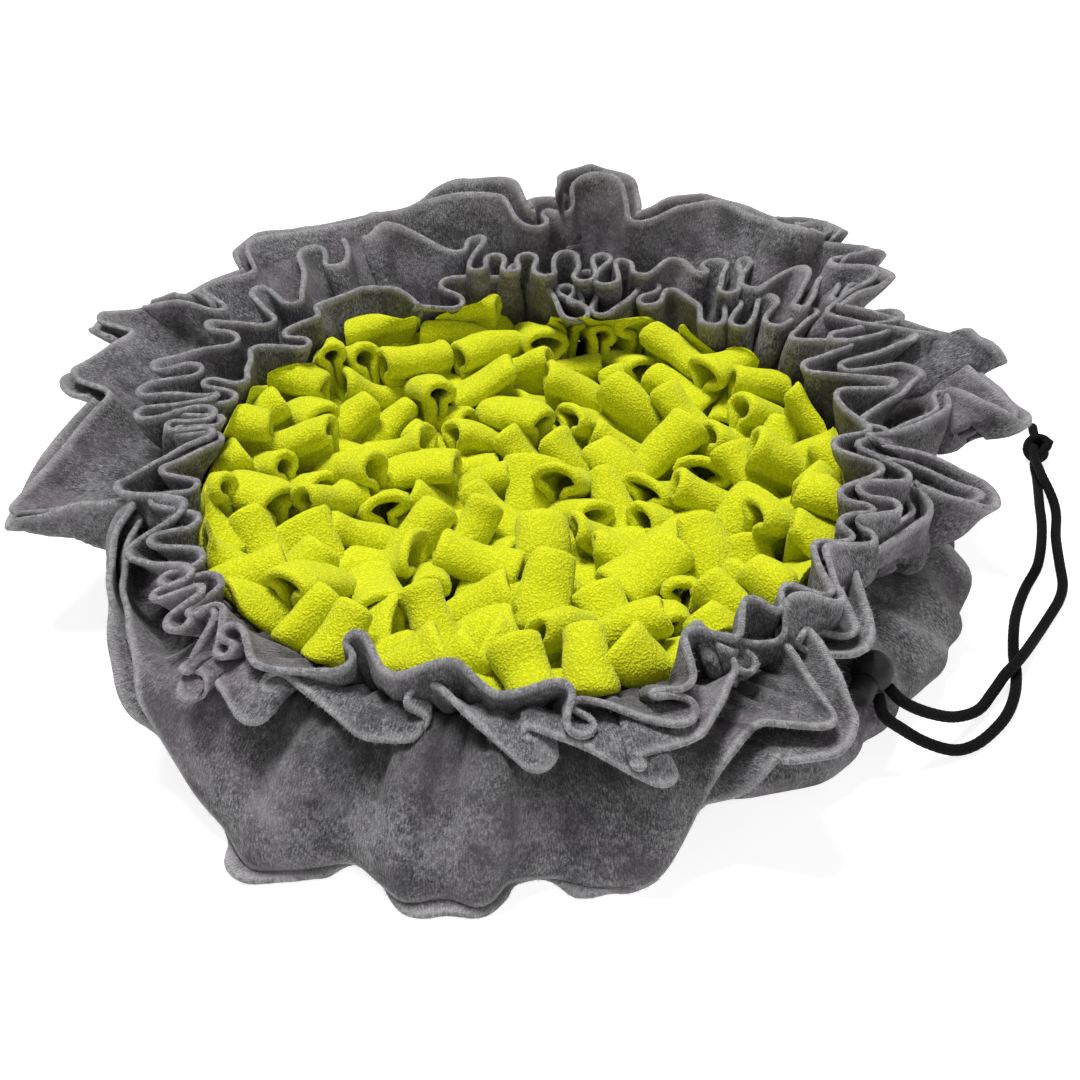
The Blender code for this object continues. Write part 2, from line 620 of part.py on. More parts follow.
def loop_rings(root, middle, bar, size):
    """Return the four edge lines of one strip: pinched at its root, up, over and back down.

    The strip's width lies along the bar, and its two ends share the root. The section is a
    closed teardrop of an outer line and an inner line, one cloth's thickness apart.
    """
    level = np.array([bar[0], bar[1], 0.0]) / math.hypot(bar[0], bar[1])
    leg = middle - root
    down = np.linalg.norm(leg)
    leg = leg / down
    across = np.cross(bar, leg)
    across /= np.linalg.norm(across)
    radius = LOOP_SIDE * LOOP_BEND * size
    inner = radius - LOOP_CLOTH
    lift = math.sqrt(1.0 - LOOP_SHOULDER**2)
    neck = down - 0.25 * radius
    # across, along the leg from the root, and share of the width
    section = (
        (-LOOP_CLOTH, -LOOP_SUNK, LOOP_ROOT_WIDTH),
        (-radius, neck, LOOP_NECK_WIDTH),
        (-LOOP_SHOULDER * radius, down + lift * radius, 1.0),
        (LOOP_SHOULDER * radius, down + lift * radius, 1.0),
        (radius, neck, LOOP_NECK_WIDTH),
        (LOOP_CLOTH, -LOOP_SUNK, LOOP_ROOT_WIDTH),
    )
    hollow = (
        (0.0, LOOP_HOLLOW, LOOP_ROOT_WIDTH),
        (-inner, neck, LOOP_NECK_WIDTH),
        (-LOOP_SHOULDER * inner, down + lift * inner, 1.0),
        (LOOP_SHOULDER * inner, down + lift * inner, 1.0),
        (inner, neck, LOOP_NECK_WIDTH),
    )

    def edge(line, side):
        """Place one line of the section at one edge of the strip, level at the root."""
        half = 0.5 * LOOP_WIDTH * size * side
        return [root + across * x + leg * y
                + (bar if share > LOOP_ROOT_WIDTH else level) * half * share
                for x, y, share in line]

    return edge(section, -1), edge(section, 1), edge(hollow, -1), edge(hollow, 1)


def add_loop(work, rings):
    """Add one strip to the mesh from its four edge lines."""
    outer_a, outer_b, inner_a, inner_b = ([work.verts.new(p) for p in ring] for ring in rings)
    inner_a.append(inner_a[0])
    inner_b.append(inner_b[0])
    for k in range(5):
        for a, b, flip in ((outer_a, outer_b, False), (inner_a, inner_b, True)):
            for face in ((a[k], a[k + 1], b[k + 1]), (a[k], b[k + 1], b[k])):
                work.faces.new(reversed(face) if flip else face)
        work.faces.new((outer_a[k + 1], outer_a[k], inner_a[k], inner_a[k + 1]))
        work.faces.new((outer_b[k], outer_b[k + 1], inner_b[k + 1], inner_b[k]))
    work.faces.new((outer_a[5], inner_a[0], outer_a[0]))
    work.faces.new((outer_b[0], inner_b[0], outer_b[5]))
    work.faces.new((outer_a[0], outer_b[0], outer_b[5], outer_a[5]))


def loop_tree(rings):
    """Return a search tree of a strip's outline, its open ends covered."""
    outer_a, outer_b = rings[0], rings[1]
    points = [*outer_a, *outer_b]
    faces = [(k, k + 1, k + 7) for k in range(5)]
    faces += [(k, k + 7, k + 6) for k in range(5)]
    faces += [(0, 6, 11, 5), tuple(range(6)), tuple(range(6, 12))]
    return BVHTree.FromPolygons(points, faces, epsilon=CLEAR)


def piece_tree(piece):
    """Return a search tree of a finished piece."""
    return BVHTree.FromObject(piece, bpy.context.evaluated_depsgraph_get(), epsilon=CLEAR)


def fit_loops(walls):
    """Place the strips one after another, each turned, shortened or eased until it is clear.

    The first try is the settled place. Later tries lie further from it, and are smaller. walls
    are the search trees of the pieces round the field.
    """
    rng = np.random.default_rng(LOOP_FIT_SEED)
    roots, ends = settle_loops()
    placed = []
    for root, end_a, end_b in zip(roots, ends[0], ends[1]):
        middle, bar = 0.5 * (end_a + end_b), end_b - end_a
        reach = middle - root
        near = [tree for other, tree, _ in placed if math.dist(other, middle) < LOOP_NEAR]
        near += walls
        for attempt in range(LOOP_TRIES):
            ease = attempt / LOOP_TRIES
            angle = math.radians(100.0) * ease * rng.uniform(-1.0, 1.0)
            turned = np.array([bar[0] * math.cos(angle) - bar[1] * math.sin(angle),
                               bar[0] * math.sin(angle) + bar[1] * math.cos(angle),
                               bar[2] * (1.0 - ease)])
            shift = rng.uniform(-1.0, 1.0, 3) * (0.014, 0.014, 0.005) * ease
            where = root + reach * (1.0 - 0.30 * ease * rng.uniform(0.0, 1.0)) + shift
            size = 1.0 - 0.28 * ease
            way = turned / np.linalg.norm(turned)
            tree = loop_tree(loop_rings(root, where, way, size + LOOP_MARGIN))
            if not any(tree.overlap(other) for other in near):
                placed.append((where, tree, loop_rings(root, where, way, size)))
                break
    return [rings for _, _, rings in placed]


def build_loop_field(collection, cutters, material, walls):
    """Build the backing with all its loops as one solid, joined at the roots."""
    work = bmesh.new()
    for rings in fit_loops(walls):
        add_loop(work, rings)
    bmesh.ops.recalc_face_normals(work, faces=work.faces)
    mesh = bpy.data.meshes.new("loops")
    work.to_mesh(mesh)
    work.free()
    loops = add_object("loops", mesh, cutters, material)
    loops.hide_render = True
    loops.display_type = 'WIRE'

    work = bmesh.new()
    bmesh.ops.create_cone(work, cap_ends=True, segments=40, radius1=BACKING_RADIUS,
                          radius2=BACKING_RADIUS, depth=BACKING_TOP - BACKING_BOTTOM)
    backing = bpy.data.meshes.new("loop_field")
    work.to_mesh(backing)
    work.free()
    field = add_object("loop_field", backing, collection, material)
    field.location.z = 0.5 * (BACKING_TOP + BACKING_BOTTOM)
    union = field.modifiers.new("Loops in the backing", 'BOOLEAN')
    union.operation = 'UNION'
    union.solver = 'EXACT'
    union.object = loops
    return field


# ---------------------------------------------------------------------------------------------
# Cord lock, cord and knot
# ---------------------------------------------------------------------------------------------

def smooth_route(route, count):
    """Return count places, evenly spaced, on a smooth curve through the points of a route."""
    points = np.array(route)
    ring = np.vstack([2 * points[0] - points[1], points, 2 * points[-1] - points[-2]])
    curve = []
    for p0, p1, p2, p3 in zip(ring, ring[1:], ring[2:], ring[3:]):
        for t in np.linspace(0.0, 1.0, 12, endpoint=False):
            curve.append(0.5 * (2 * p1 + (p2 - p0) * t + (2 * p0 - 5 * p1 + 4 * p2 - p3) * t**2
                                + (3 * p1 - p0 - 3 * p2 + p3) * t**3))
    curve = np.array([*curve, points[-1]])
    length = np.concatenate([[0.0], np.cumsum(np.linalg.norm(np.diff(curve, axis=0), axis=1))])
    wanted = np.linspace(0.0, length[-1], count)
    return np.stack([np.interp(wanted, length, column) for column in curve.T], axis=-1)


def build_strand(name, route, collection, material):
    """Build one strand of the cord, straight out of the lock and then along its route."""
    centre = Vector(LOCK_CENTRE)
    way = (Vector(route[0]) - centre).normalized()
    start = centre + (LOCK_RADIUS + 2 * SEAT) * way
    places = smooth_route([start, *route], STRAND_POINTS)
    curve = bpy.data.curves.new(name, 'CURVE')
    curve.dimensions = '3D'
    curve.bevel_depth = CORD_RADIUS
    curve.bevel_resolution = 2
    curve.use_fill_caps = True
    spline = curve.splines.new('POLY')
    spline.points.add(len(places) - 1)
    for point, place in zip(spline.points, places):
        point.co = (*place, 1.0)
    return add_object(name, curve, collection, material)


def build_lock(collection, material):
    """Build the cord lock: a ball with one flat face, and the push button before that face."""
    way = Vector(BUTTON_WAY).normalized()
    ball = bmesh.new()
    bmesh.ops.create_uvsphere(ball, u_segments=14, v_segments=9, radius=LOCK_RADIUS)
    cut = bmesh.ops.bisect_plane(ball, geom=[*ball.verts, *ball.edges, *ball.faces],
                                 plane_co=LOCK_FACE * way, plane_no=way, clear_outer=True)
    rim = [edge for edge in cut["geom_cut"] if isinstance(edge, bmesh.types.BMEdge)]
    bmesh.ops.holes_fill(ball, edges=rim)
    button = bmesh.new()
    length = BUTTON_END - LOCK_FACE - SEAT
    bmesh.ops.create_cone(button, cap_ends=True, segments=18, radius1=BUTTON_RADIUS,
                          radius2=BUTTON_RADIUS, depth=length)
    outer_rim = [edge for edge in button.edges if min(vert.co.z for vert in edge.verts) > 0.0]
    bmesh.ops.bevel(button, geom=outer_rim, offset=0.0009, segments=1, affect='EDGES')
    for name, work in (("lock_body", ball), ("lock_button", button)):
        mesh = bpy.data.meshes.new(name)
        work.to_mesh(mesh)
        work.free()
        mesh.shade_smooth()
        mesh.set_sharp_from_angle(angle=math.radians(40.0))
        piece = add_object(name, mesh, collection, material)
        piece.location = LOCK_CENTRE
        if name == "lock_button":
            piece.location = Vector(LOCK_CENTRE) + (LOCK_FACE + SEAT + 0.5 * length) * way
            piece.rotation_euler = way.to_track_quat('Z', 'Y').to_euler()


def build_knot(collection, cutters, material):
    """Build the knot at the strands' end from its lumps, joined into one solid."""
    lumps = []
    for k, lump in enumerate(KNOT_LUMPS):
        work = bmesh.new()
        bmesh.ops.create_icosphere(work, subdivisions=2, radius=1.0)
        name = "cord_knot" if k == 0 else f"knot_lump_{k}"
        mesh = bpy.data.meshes.new(name)
        work.to_mesh(mesh)
        work.free()
        mesh.shade_smooth()
        piece = add_object(name, mesh, cutters if k else collection, material)
        place = Matrix.Translation(lump[:3]) @ Matrix.Rotation(math.radians(lump.turn), 4, 'Z')
        mesh.transform(place @ Matrix.Diagonal((*lump[3:6], 1.0)))
        lumps.append(piece)
    for piece in lumps[1:]:
        piece.hide_render = True
        piece.display_type = 'WIRE'
        union = lumps[0].modifiers.new(f"Join {piece.name}", 'BOOLEAN')
        union.operation = 'UNION'
        union.solver = 'EXACT'
        union.object = piece


def clear_scene():
    """Remove whatever the file holds."""
    for piece in list(bpy.data.objects):
        bpy.data.objects.remove(piece, do_unlink=True)


def main():
    """Build every piece of the mat."""
    clear_scene()
    mat = make_collection("snuffle_mat")
    cutters = make_collection("cutters")
    grey = make_material("grey_fleece", (0.165, 0.158, 0.162), 0.95)
    green = make_material("lime_fleece", (0.47, 0.52, 0.012), 0.95)
    black = make_material("black_cord", (0.012, 0.012, 0.013), 0.55)

    shell = build_base_shell(mat, grey)
    upper = hang_ply(flounce_hem(FLOUNCE_FOLDS, FLOUNCE_SPACING), UPPER_PLACE, FLOUNCE_BOW_LOW,
                     FLOUNCE_BOW_HIGH, FLOUNCE_STEPS, FLOUNCE_WINDOW)
    cloth_ring("flounce_upper", upper, mat, grey)
    cloth_ring("flounce_under", under_ply(upper, FLOUNCE_STEPS), mat, grey)
    middle = hang_ply(frill_hem(MIDDLE_FRILL, FRILL_FOLDS, FRILL_SAMPLES_PER_FOLD, MIDDLE_SEED),
                      MIDDLE_PLACE, MIDDLE_BOW_LOW, MIDDLE_BOW_HIGH, MIDDLE_STEPS, FRILL_WINDOW)
    cloth_ring("frill_middle", middle, mat, grey)
    inner = hang_ply(frill_hem(INNER_FRILL, FRILL_FOLDS, FRILL_SAMPLES_PER_FOLD, INNER_SEED),
                     INNER_PLACE, INNER_BOW, INNER_BOW, INNER_STEPS, FRILL_WINDOW)
    frill = cloth_ring("frill_inner", inner, mat, grey)
    build_loop_field(mat, cutters, green, [piece_tree(shell), piece_tree(frill)])

    build_lock(mat, black)
    build_strand("cord_back", UPPER_ROUTE, mat, black)
    build_strand("cord_front", LOWER_ROUTE, mat, black)
    build_knot(mat, cutters, black)


main()
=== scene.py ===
"""Looks of the round fleece snuffle mat, drawn in by its cord.

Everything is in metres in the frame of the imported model, with the floor at z = 0. Azimuth is in
degrees from +X towards +Y, so 270 is the side that faces the camera. Each sub-assembly is a class
whose fields are its sizes and whose methods build its meshes and dress them.
"""

from __future__ import annotations

import logging
import math
from dataclasses import dataclass, replace
from enum import Enum
from typing import Any, NamedTuple, Sequence

import bpy
import numpy as np
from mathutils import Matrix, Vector

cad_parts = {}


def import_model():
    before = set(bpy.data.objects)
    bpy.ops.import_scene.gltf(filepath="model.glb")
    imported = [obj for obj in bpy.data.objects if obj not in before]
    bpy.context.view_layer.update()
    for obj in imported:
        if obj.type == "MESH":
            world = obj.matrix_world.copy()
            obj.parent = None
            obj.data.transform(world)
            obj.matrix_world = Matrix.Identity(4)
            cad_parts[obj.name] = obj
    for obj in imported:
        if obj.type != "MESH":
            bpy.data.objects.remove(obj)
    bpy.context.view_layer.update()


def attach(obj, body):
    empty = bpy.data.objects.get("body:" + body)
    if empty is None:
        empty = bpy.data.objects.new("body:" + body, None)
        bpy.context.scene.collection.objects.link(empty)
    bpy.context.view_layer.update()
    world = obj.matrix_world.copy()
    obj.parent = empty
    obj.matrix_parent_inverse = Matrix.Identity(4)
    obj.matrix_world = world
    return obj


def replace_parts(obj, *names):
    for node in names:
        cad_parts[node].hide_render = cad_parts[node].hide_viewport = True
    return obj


log = logging.getLogger("snuffle_mat")

BODY = "root"
TURN = 2 * math.pi
Array = np.ndarray
Colour = tuple[float, float, float]
Point = tuple[float, float, float]


class Slot(Enum):
    """The record's material slots."""

    GREY_FLEECE = "grey_fleece"
    LIME_FLEECE = "lime_fleece"
    BLACK_CORD = "black_cord"
    BLACK_PLASTIC = "black_plastic"


class Turn(NamedTuple):
    """One turn of a hem, which runs like a belt round upright rollers.

    The roller's axis stands at azimuth (degrees) and reach (metres) from the mat's middle. bend is
    its radius, positive where the hem bulges outwards and negative where it comes back in.
    """

    azimuth: float
    reach: float
    height: float
    bend: float


class Fold(NamedTuple):
    """One turn of a hem as the photograph shows it.

    across and down are the pixel of the roller's middle in the 1080-pixel frame, height is its
    height over the floor and bend its radius (metres), as a Turn has them.
    """

    across: float
    down: float
    height: float
    bend: float


class Swell(NamedTuple):
    """A soft upright ridge (push over 0) or valley of a hanging ply."""

    azimuth: float
    width: float
    push: float


class Spread(NamedTuple):
    """How a ply's slack cloth bulges, and how the flounce's under ply lies at its hem."""

    azimuth: float
    gap: float
    longer: float               # how far the under ply's edge reaches past the upper one's
    bulge: float                # degrees, where all of the cloth is slack


class Outline(NamedTuple):
    """Radius of the base cloth's widest place at one azimuth."""

    azimuth: float
    radius: float


class Crease(NamedTuple):
    """One soft gather of the base cloth's wall: a ridge that slants down from the seam."""

    azimuth: float
    width: float
    depth: float
    slant: float


# ---------------------------------------------------------------------------------------------
# Shader maths
# ---------------------------------------------------------------------------------------------

class Wire:
    """A node's output socket, on which arithmetic adds Math nodes."""

    def __init__(self, shader: Shader, socket: bpy.types.NodeSocket) -> None:
        """Wrap one output socket of the shader's tree."""
        self.shader = shader
        self.socket = socket

    def maths(self, operation: str, first: Wire | float, second: Wire | float) -> Wire:
        """Return the result of one Math node on two values."""
        return self.shader.node("ShaderNodeMath", {"operation": operation}, {0: first, 1: second})

    def __add__(self, other: Wire | float) -> Wire:
        """Return self + other."""
        return self.maths('ADD', self, other)

    def __radd__(self, other: float) -> Wire:
        """Return other + self."""
        return self.maths('ADD', other, self)

    def __sub__(self, other: Wire | float) -> Wire:
        """Return self - other."""
        return self.maths('SUBTRACT', self, other)

    def __rsub__(self, other: float) -> Wire:
        """Return other - self."""
        return self.maths('SUBTRACT', other, self)

    def __mul__(self, other: Wire | float) -> Wire:
        """Return self * other."""
        return self.maths('MULTIPLY', self, other)

    def __rmul__(self, other: float) -> Wire:
        """Return other * self."""
        return self.maths('MULTIPLY', other, self)

    def ramp(self, low: float, high: float) -> Wire:
        """Return 0 below low, 1 above high and a smooth step between them."""
        return self.shader.node("ShaderNodeMapRange", {"interpolation_type": 'SMOOTHSTEP'},
                                {0: self, 1: low, 2: high, 3: 0.0, 4: 1.0})


class Shader:
    """The nodes of one material or of the sky, and the ways in which they are made."""

    def __init__(self, holder: bpy.types.Material | bpy.types.World) -> None:
        """Start on the nodes that a new material or world holds."""
        self.holder = holder
        self.holder.use_nodes = True
        self.tree = self.holder.node_tree

    def node(self, kind: str, settings: dict[str, Any] | None = None,
             sockets: dict[int | str, Any] | None = None, out: int | str = 0) -> Wire:
        """Add any node.

        Args:
            kind: Type name of the node.
            settings: Attributes, set before the sockets.
            sockets: Values or wires for input sockets, by index or name.
            out: Index or name of the output to return.

        Returns:
            The chosen output.
        """
        made = self.tree.nodes.new(kind)
        for name, value in (settings or {}).items():
            setattr(made, name, value)
        for key, value in (sockets or {}).items():
            if isinstance(value, Wire):
                self.tree.links.new(value.socket, made.inputs[key])
            else:
                made.inputs[key].default_value = value
        return Wire(self, made.outputs[out])

    def place(self) -> Wire:
        """Return the point on the object, in metres."""
        return self.node("ShaderNodeTexCoord", out="Object")

    def attribute(self, name: str, out: str = "Fac") -> Wire:
        """Return a value that the mesh carries at its points."""
        return self.node("ShaderNodeAttribute", {"attribute_name": name}, out=out)

    def noise(self, where: Wire, size: float, detail: float = 2.0, rough: float = 0.5) -> Wire:
        """Return noise from 0 to 1 whose lumps are about size metres wide."""
        return self.node("ShaderNodeTexNoise", None,
                         {"Vector": where, "Scale": 1.0 / size, "Detail": detail,
                          "Roughness": rough})

    def stretch(self, where: Wire, factors: tuple[float, float, float]) -> Wire:
        """Return a vector with each axis multiplied by its factor."""
        return self.node("ShaderNodeVectorMath", {"operation": 'MULTIPLY'},
                         {0: where, 1: factors})

    def blend(self, share: Wire, first: Wire | Colour, second: Wire | Colour) -> Wire:
        """Return a colour between first and second, as the share goes from 0 to 1."""
        ends = [end if isinstance(end, Wire) else (*end, 1.0) for end in (first, second)]
        return self.node("ShaderNodeMix", {"data_type": 'RGBA'},
                         {0: share, 6: ends[0], 7: ends[1]}, out=2)

    def layers(self, base: Colour, *coats: tuple[Wire, Colour]) -> Wire:
        """Return a base colour under further ones, each laid on by its own share."""
        colour: Wire | Colour = base
        for share, tone in coats:
            colour = self.blend(share, colour, tone)
        return colour

    def bump(self, height: Wire, depth: float) -> Wire:
        """Return a normal from a height between 0 and 1 that stands for depth metres."""
        return self.node("ShaderNodeBump", None, {"Height": height, "Distance": depth})

    def finish(self, constants: dict[str, Any], wires: dict[str, Wire]) -> bpy.types.Material:
        """Set the Principled shader's plain values and links, and return the material."""
        principled = self.tree.nodes["Principled BSDF"]
        for name, value in constants.items():
            principled.inputs[name].default_value = value
        for name, wire in wires.items():
            self.tree.links.new(wire.socket, principled.inputs[name])
        return self.holder


# ---------------------------------------------------------------------------------------------
# Finishes
# ---------------------------------------------------------------------------------------------

@dataclass(frozen=True)
class GreyFleece:
    """Heather-grey fleece: mottled, slightly purple, with a pale fuzzy cut edge that is partly painted
    highlight.
    """

    name: str = "heather_grey_fleece"
    slot: Slot = Slot.GREY_FLEECE
    dark: Colour = (0.036, 0.035, 0.038)
    middle: Colour = (0.132, 0.128, 0.133)
    pale: Colour = (0.330, 0.323, 0.333)
    tint: Colour = (0.190, 0.152, 0.175)
    # pale cut edge: partly the fuzz's own paleness, partly painted highlight
    edge: Colour = (0.620, 0.612, 0.622)
    # painted shade: the tone that the cloth is darkened towards where its painted shade mark is high
    painted_shade_tone: Colour = (0.030, 0.029, 0.031)
    clump: float = 0.0030       # mottled clumps of fibre
    fibre: float = 0.00075
    nap: float = 0.0026         # length of a streak of the brushed pile
    patch: float = 0.0450       # large patches of purple tint
    light_and_shade_size: float = 0.0170       # patches of painted light and shade, standing in for the shading of broad folds
    relief: float = 0.0017
    tinted: float = 0.40        # this and the next: how much of a colour shows at its strongest
    painted_shade_patches: float = 0.62
    painted_light_patches: float = 0.26
    # how far the painted shade darkens the cloth where its mark is 1
    shaded: float = 0.80
    # how far the pale cut edge shows: its fuzz and its painted highlight
    fuzz_and_highlight: float = 0.38
    seamed: float = 0.40

    def material(self) -> bpy.types.Material:
        """Return the finish as a material."""
        shader = Shader(bpy.data.materials.new(self.name))
        where = shader.place()
        lay = shader.attribute("lay", "Vector")
        streaks = shader.noise(shader.stretch(lay, (1.0, self.fibre / self.nap, 1.0)),
                               self.fibre, 2.0, 0.6)
        fibres = shader.noise(where, self.fibre, 3.0, 0.65)
        clumps = shader.noise(where, self.clump, 2.0, 0.6)
        patches = shader.noise(where, self.patch, 1.0)
        # noise for the patches of painted light and shade
        brushed = shader.noise(where, self.light_and_shade_size, 3.0, 0.6)
        pile = 0.46 * streaks + 0.34 * fibres + 0.20 * clumps
        rim = shader.attribute("hem") * (0.70 + 0.30 * fibres.ramp(0.35, 0.62))
        seam = shader.attribute("core") * clumps.ramp(0.58, 0.44)
        colour = shader.layers(
            self.dark,
            (pile.ramp(0.38, 0.54), self.middle),
            (pile.ramp(0.48, 0.66), self.pale),
            (patches.ramp(0.46, 0.66) * self.tinted, self.tint),
            # patches of painted shade and painted light, for the shading of broad folds
            (brushed.ramp(0.52, 0.34) * self.painted_shade_patches, self.dark),
            (brushed.ramp(0.50, 0.68) * self.painted_light_patches, self.pale),
            # painted shade, laid on by the mesh's painted shade mark
            (shader.attribute("painted_shade_mark") * self.shaded, self.painted_shade_tone),
            # the cut edge lightened: its fuzz, and a painted highlight
            (rim * self.fuzz_and_highlight, self.edge),
            (seam * self.seamed, self.dark))
        height = 0.60 * streaks + 0.25 * fibres + 0.35 * clumps
        return shader.finish(
            {"Roughness": 0.95, "Specular IOR Level": 0.15, "Sheen Weight": 0.16,
             "Sheen Roughness": 0.55},
            {"Base Color": colour, "Normal": shader.bump(height, self.relief)})


@dataclass(frozen=True)
class LimeFleece:
    """Lime-green fleece with the small nubs of its pile."""

    name: str = "lime_green_fleece"
    slot: Slot = Slot.LIME_FLEECE
    dark: Colour = (0.500, 0.535, 0.003)
    middle: Colour = (0.620, 0.655, 0.006)
    pale: Colour = (0.740, 0.770, 0.022)
    # painted shade: the tone that the loops are darkened towards where their painted shade mark is high
    painted_shade_tone: Colour = (0.110, 0.130, 0.002)
    nub: float = 0.0011
    fibre: float = 0.0007
    swirl: float = 0.0028       # soft lumps of several nubs
    wobble: float = 0.0022      # size of the noise that makes the nubs uneven
    drift: float = 0.0011       # how far it moves them
    relief: float = 0.00045
    # how far the painted shade darkens the loops where its mark is 1
    shaded: float = 0.72
    # how far the pale cut edge shows: its fuzz and its painted highlight
    fuzz_and_highlight: float = 0.35

    def material(self) -> bpy.types.Material:
        """Return the finish as a material."""
        shader = Shader(bpy.data.materials.new(self.name))
        where = shader.place()
        swirl = shader.noise(where, self.swirl, 2.0)
        wobble = shader.node("ShaderNodeTexNoise", None,
                             {"Vector": where, "Scale": 1.0 / self.wobble}, out="Color")
        bent = shader.node("ShaderNodeVectorMath", {"operation": 'MULTIPLY_ADD'},
                           {0: wobble, 1: (self.drift,) * 3, 2: where})
        nubs = shader.node("ShaderNodeTexVoronoi", {"feature": 'SMOOTH_F1'},
                           {"Vector": bent, "Scale": 1.0 / self.nub, "Smoothness": 0.6})
        fibres = shader.noise(where, self.fibre, 2.0, 0.6)
        # the nubs' crowns are painted lighter and the hollows between them darker: painted highlight and
        # shade, mixed with the fibres' own uneven tone
        crown = 1.0 - nubs.ramp(0.10, 0.75)
        pile = 0.55 * crown + 0.25 * fibres + 0.30 * swirl
        rim = shader.attribute("hem") * fibres.ramp(0.42, 0.60)
        colour = shader.layers(
            self.dark,
            (pile.ramp(0.30, 0.62), self.middle),
            (pile.ramp(0.60, 0.92), self.pale),
            # painted shade, laid on by the mesh's painted shade mark
            (shader.attribute("painted_shade_mark") * self.shaded, self.painted_shade_tone),
            # the strips' cut edges lightened: their fuzz, and a painted highlight
            (rim * self.fuzz_and_highlight, self.pale))
        height = 0.75 * crown + 0.25 * fibres + 0.35 * swirl
        return shader.finish(
            {"Roughness": 0.92, "Specular IOR Level": 0.2, "Sheen Weight": 0.18,
             "Sheen Roughness": 0.5, "Sheen Tint": (0.9, 1.0, 0.4, 1.0)},
            {"Base Color": colour, "Normal": shader.bump(height, self.relief)})


@dataclass(frozen=True)
class BlackCord:
    """Matt black braided cord."""

    name: str = "braided_black_cord"
    slot: Slot = Slot.BLACK_CORD
    dark: Colour = (0.0008, 0.0008, 0.0009)
    pale: Colour = (0.0040, 0.0040, 0.0044)
    fibre: float = 0.0005
    relief: float = 0.0003

    def material(self) -> bpy.types.Material:
        """Return the finish as a material."""
        shader = Shader(bpy.data.materials.new(self.name))
        fibres = shader.noise(shader.place(), self.fibre, 3.0, 0.6)
        braid = shader.attribute("braid")
        # yarn crowns painted paler and grooves darker: painted highlight and shade, mixed with the
        # fibres' own tone
        yarn = (0.55 * braid + 0.45 * fibres).ramp(0.25, 0.80)
        height = 0.6 * braid + 0.5 * fibres
        return shader.finish({"Roughness": 0.85, "Specular IOR Level": 0.12},
                             {"Base Color": shader.blend(yarn, self.dark, self.pale),
                              "Normal": shader.bump(height, self.relief)})


@dataclass(frozen=True)
class BlackPlastic:
    """Moulded black plastic with a fine spark-eroded grain."""

    name: str = "moulded_black_plastic"
    slot: Slot = Slot.BLACK_PLASTIC
    dark: Colour = (0.0075, 0.0075, 0.0082)
    pale: Colour = (0.0130, 0.0130, 0.0142)
    grain: float = 0.0004
    worn_patch: float = 0.0060
    relief: float = 0.00008

    def material(self) -> bpy.types.Material:
        """Return the finish as a material."""
        shader = Shader(bpy.data.materials.new(self.name))
        where = shader.place()
        grain = shader.noise(where, self.grain, 2.0)
        wear = shader.noise(where, self.worn_patch, 3.0)
        return shader.finish(
            {"Specular IOR Level": 0.30},
            {"Base Color": shader.blend(wear.ramp(0.4, 0.7), self.dark, self.pale),
             "Roughness": 0.46 + 0.22 * wear, "Normal": shader.bump(grain, self.relief)})


# ---------------------------------------------------------------------------------------------
# Mesh helpers
# ---------------------------------------------------------------------------------------------

def degrees_off(around: Array, azimuth: Array | float) -> Array:
    """Return how far azimuths in degrees lie from another one, from -180 to 180."""
    return (around - azimuth + 180.0) % 360.0 - 180.0


def to_xyz(azimuth: Array, radius: Array, height: Array) -> Array:
    """Turn azimuth (radians), radius and height arrays into an array of points."""
    return np.stack([radius * np.cos(azimuth), radius * np.sin(azimuth), height], axis=-1)


def unit(vectors: Array) -> Array:
    """Return vectors scaled to length 1."""
    return vectors / np.maximum(np.linalg.norm(vectors, axis=-1, keepdims=True), 1e-9)


def smooth_step(value: Array | float, low: float, high: float) -> Array:
    """Return 0 below low, 1 above high and a smooth step between them."""
    share = np.clip((value - low) / (high - low), 0.0, 1.0)
    return share * share * (3.0 - 2.0 * share)


def round_table(places: Array, values: Array, wanted: Array, period: float) -> Array:
    """Read a table of values that repeats, by a cubic through each of them.

    Args:
        places: Where the values stand, rising, less than one period in all.
        values: One value for each place.
        wanted: Where to read the table.
        period: Length after which the table repeats.

    Returns:
        The values at the wanted places.
    """
    places = np.concatenate([places - period, places, places + period])
    values = np.tile(values, 3)
    slopes = np.gradient(values, places)
    wanted = np.mod(wanted - places[len(values) // 3], period) + places[len(values) // 3]
    right = np.searchsorted(places, wanted, side="right")
    left = right - 1
    span = places[right] - places[left]
    t = (wanted - places[left]) / span
    return ((2 * t**3 - 3 * t**2 + 1) * values[left] + (t**3 - 2 * t**2 + t) * span * slopes[left]
            + (3 * t**2 - 2 * t**3) * values[right] + (t**3 - t**2) * span * slopes[right])


def by_azimuth(rows: Sequence[NamedTuple], column: str, azimuth: Array) -> Array:
    """Read one column of an azimuth table at azimuths in radians."""
    places = np.radians([row.azimuth for row in rows])
    values = np.array([getattr(row, column) for row in rows])
    return round_table(places, values, azimuth, TURN)


def soft_noise(points: Array, size: float, seed: int, waves: int = 14) -> Array:
    """Return smooth noise of about -1 to 1, whose lumps are about size metres wide."""
    rng = np.random.default_rng(seed)
    ways = unit(rng.normal(size=(waves, 3))) * rng.uniform(0.6, 1.5, (waves, 1))
    phases = rng.uniform(0.0, TURN, waves)
    total = np.sin(points @ ways.T * (math.pi / size) + phases).sum(-1)
    return total * math.sqrt(2.0 / waves) * 0.6


def evened(line: Array) -> Array:
    """Return a closed line of vectors, each moved half-way to the mean of its neighbours."""
    return 0.5 * line + 0.25 * (np.roll(line, 1, axis=0) + np.roll(line, -1, axis=0))


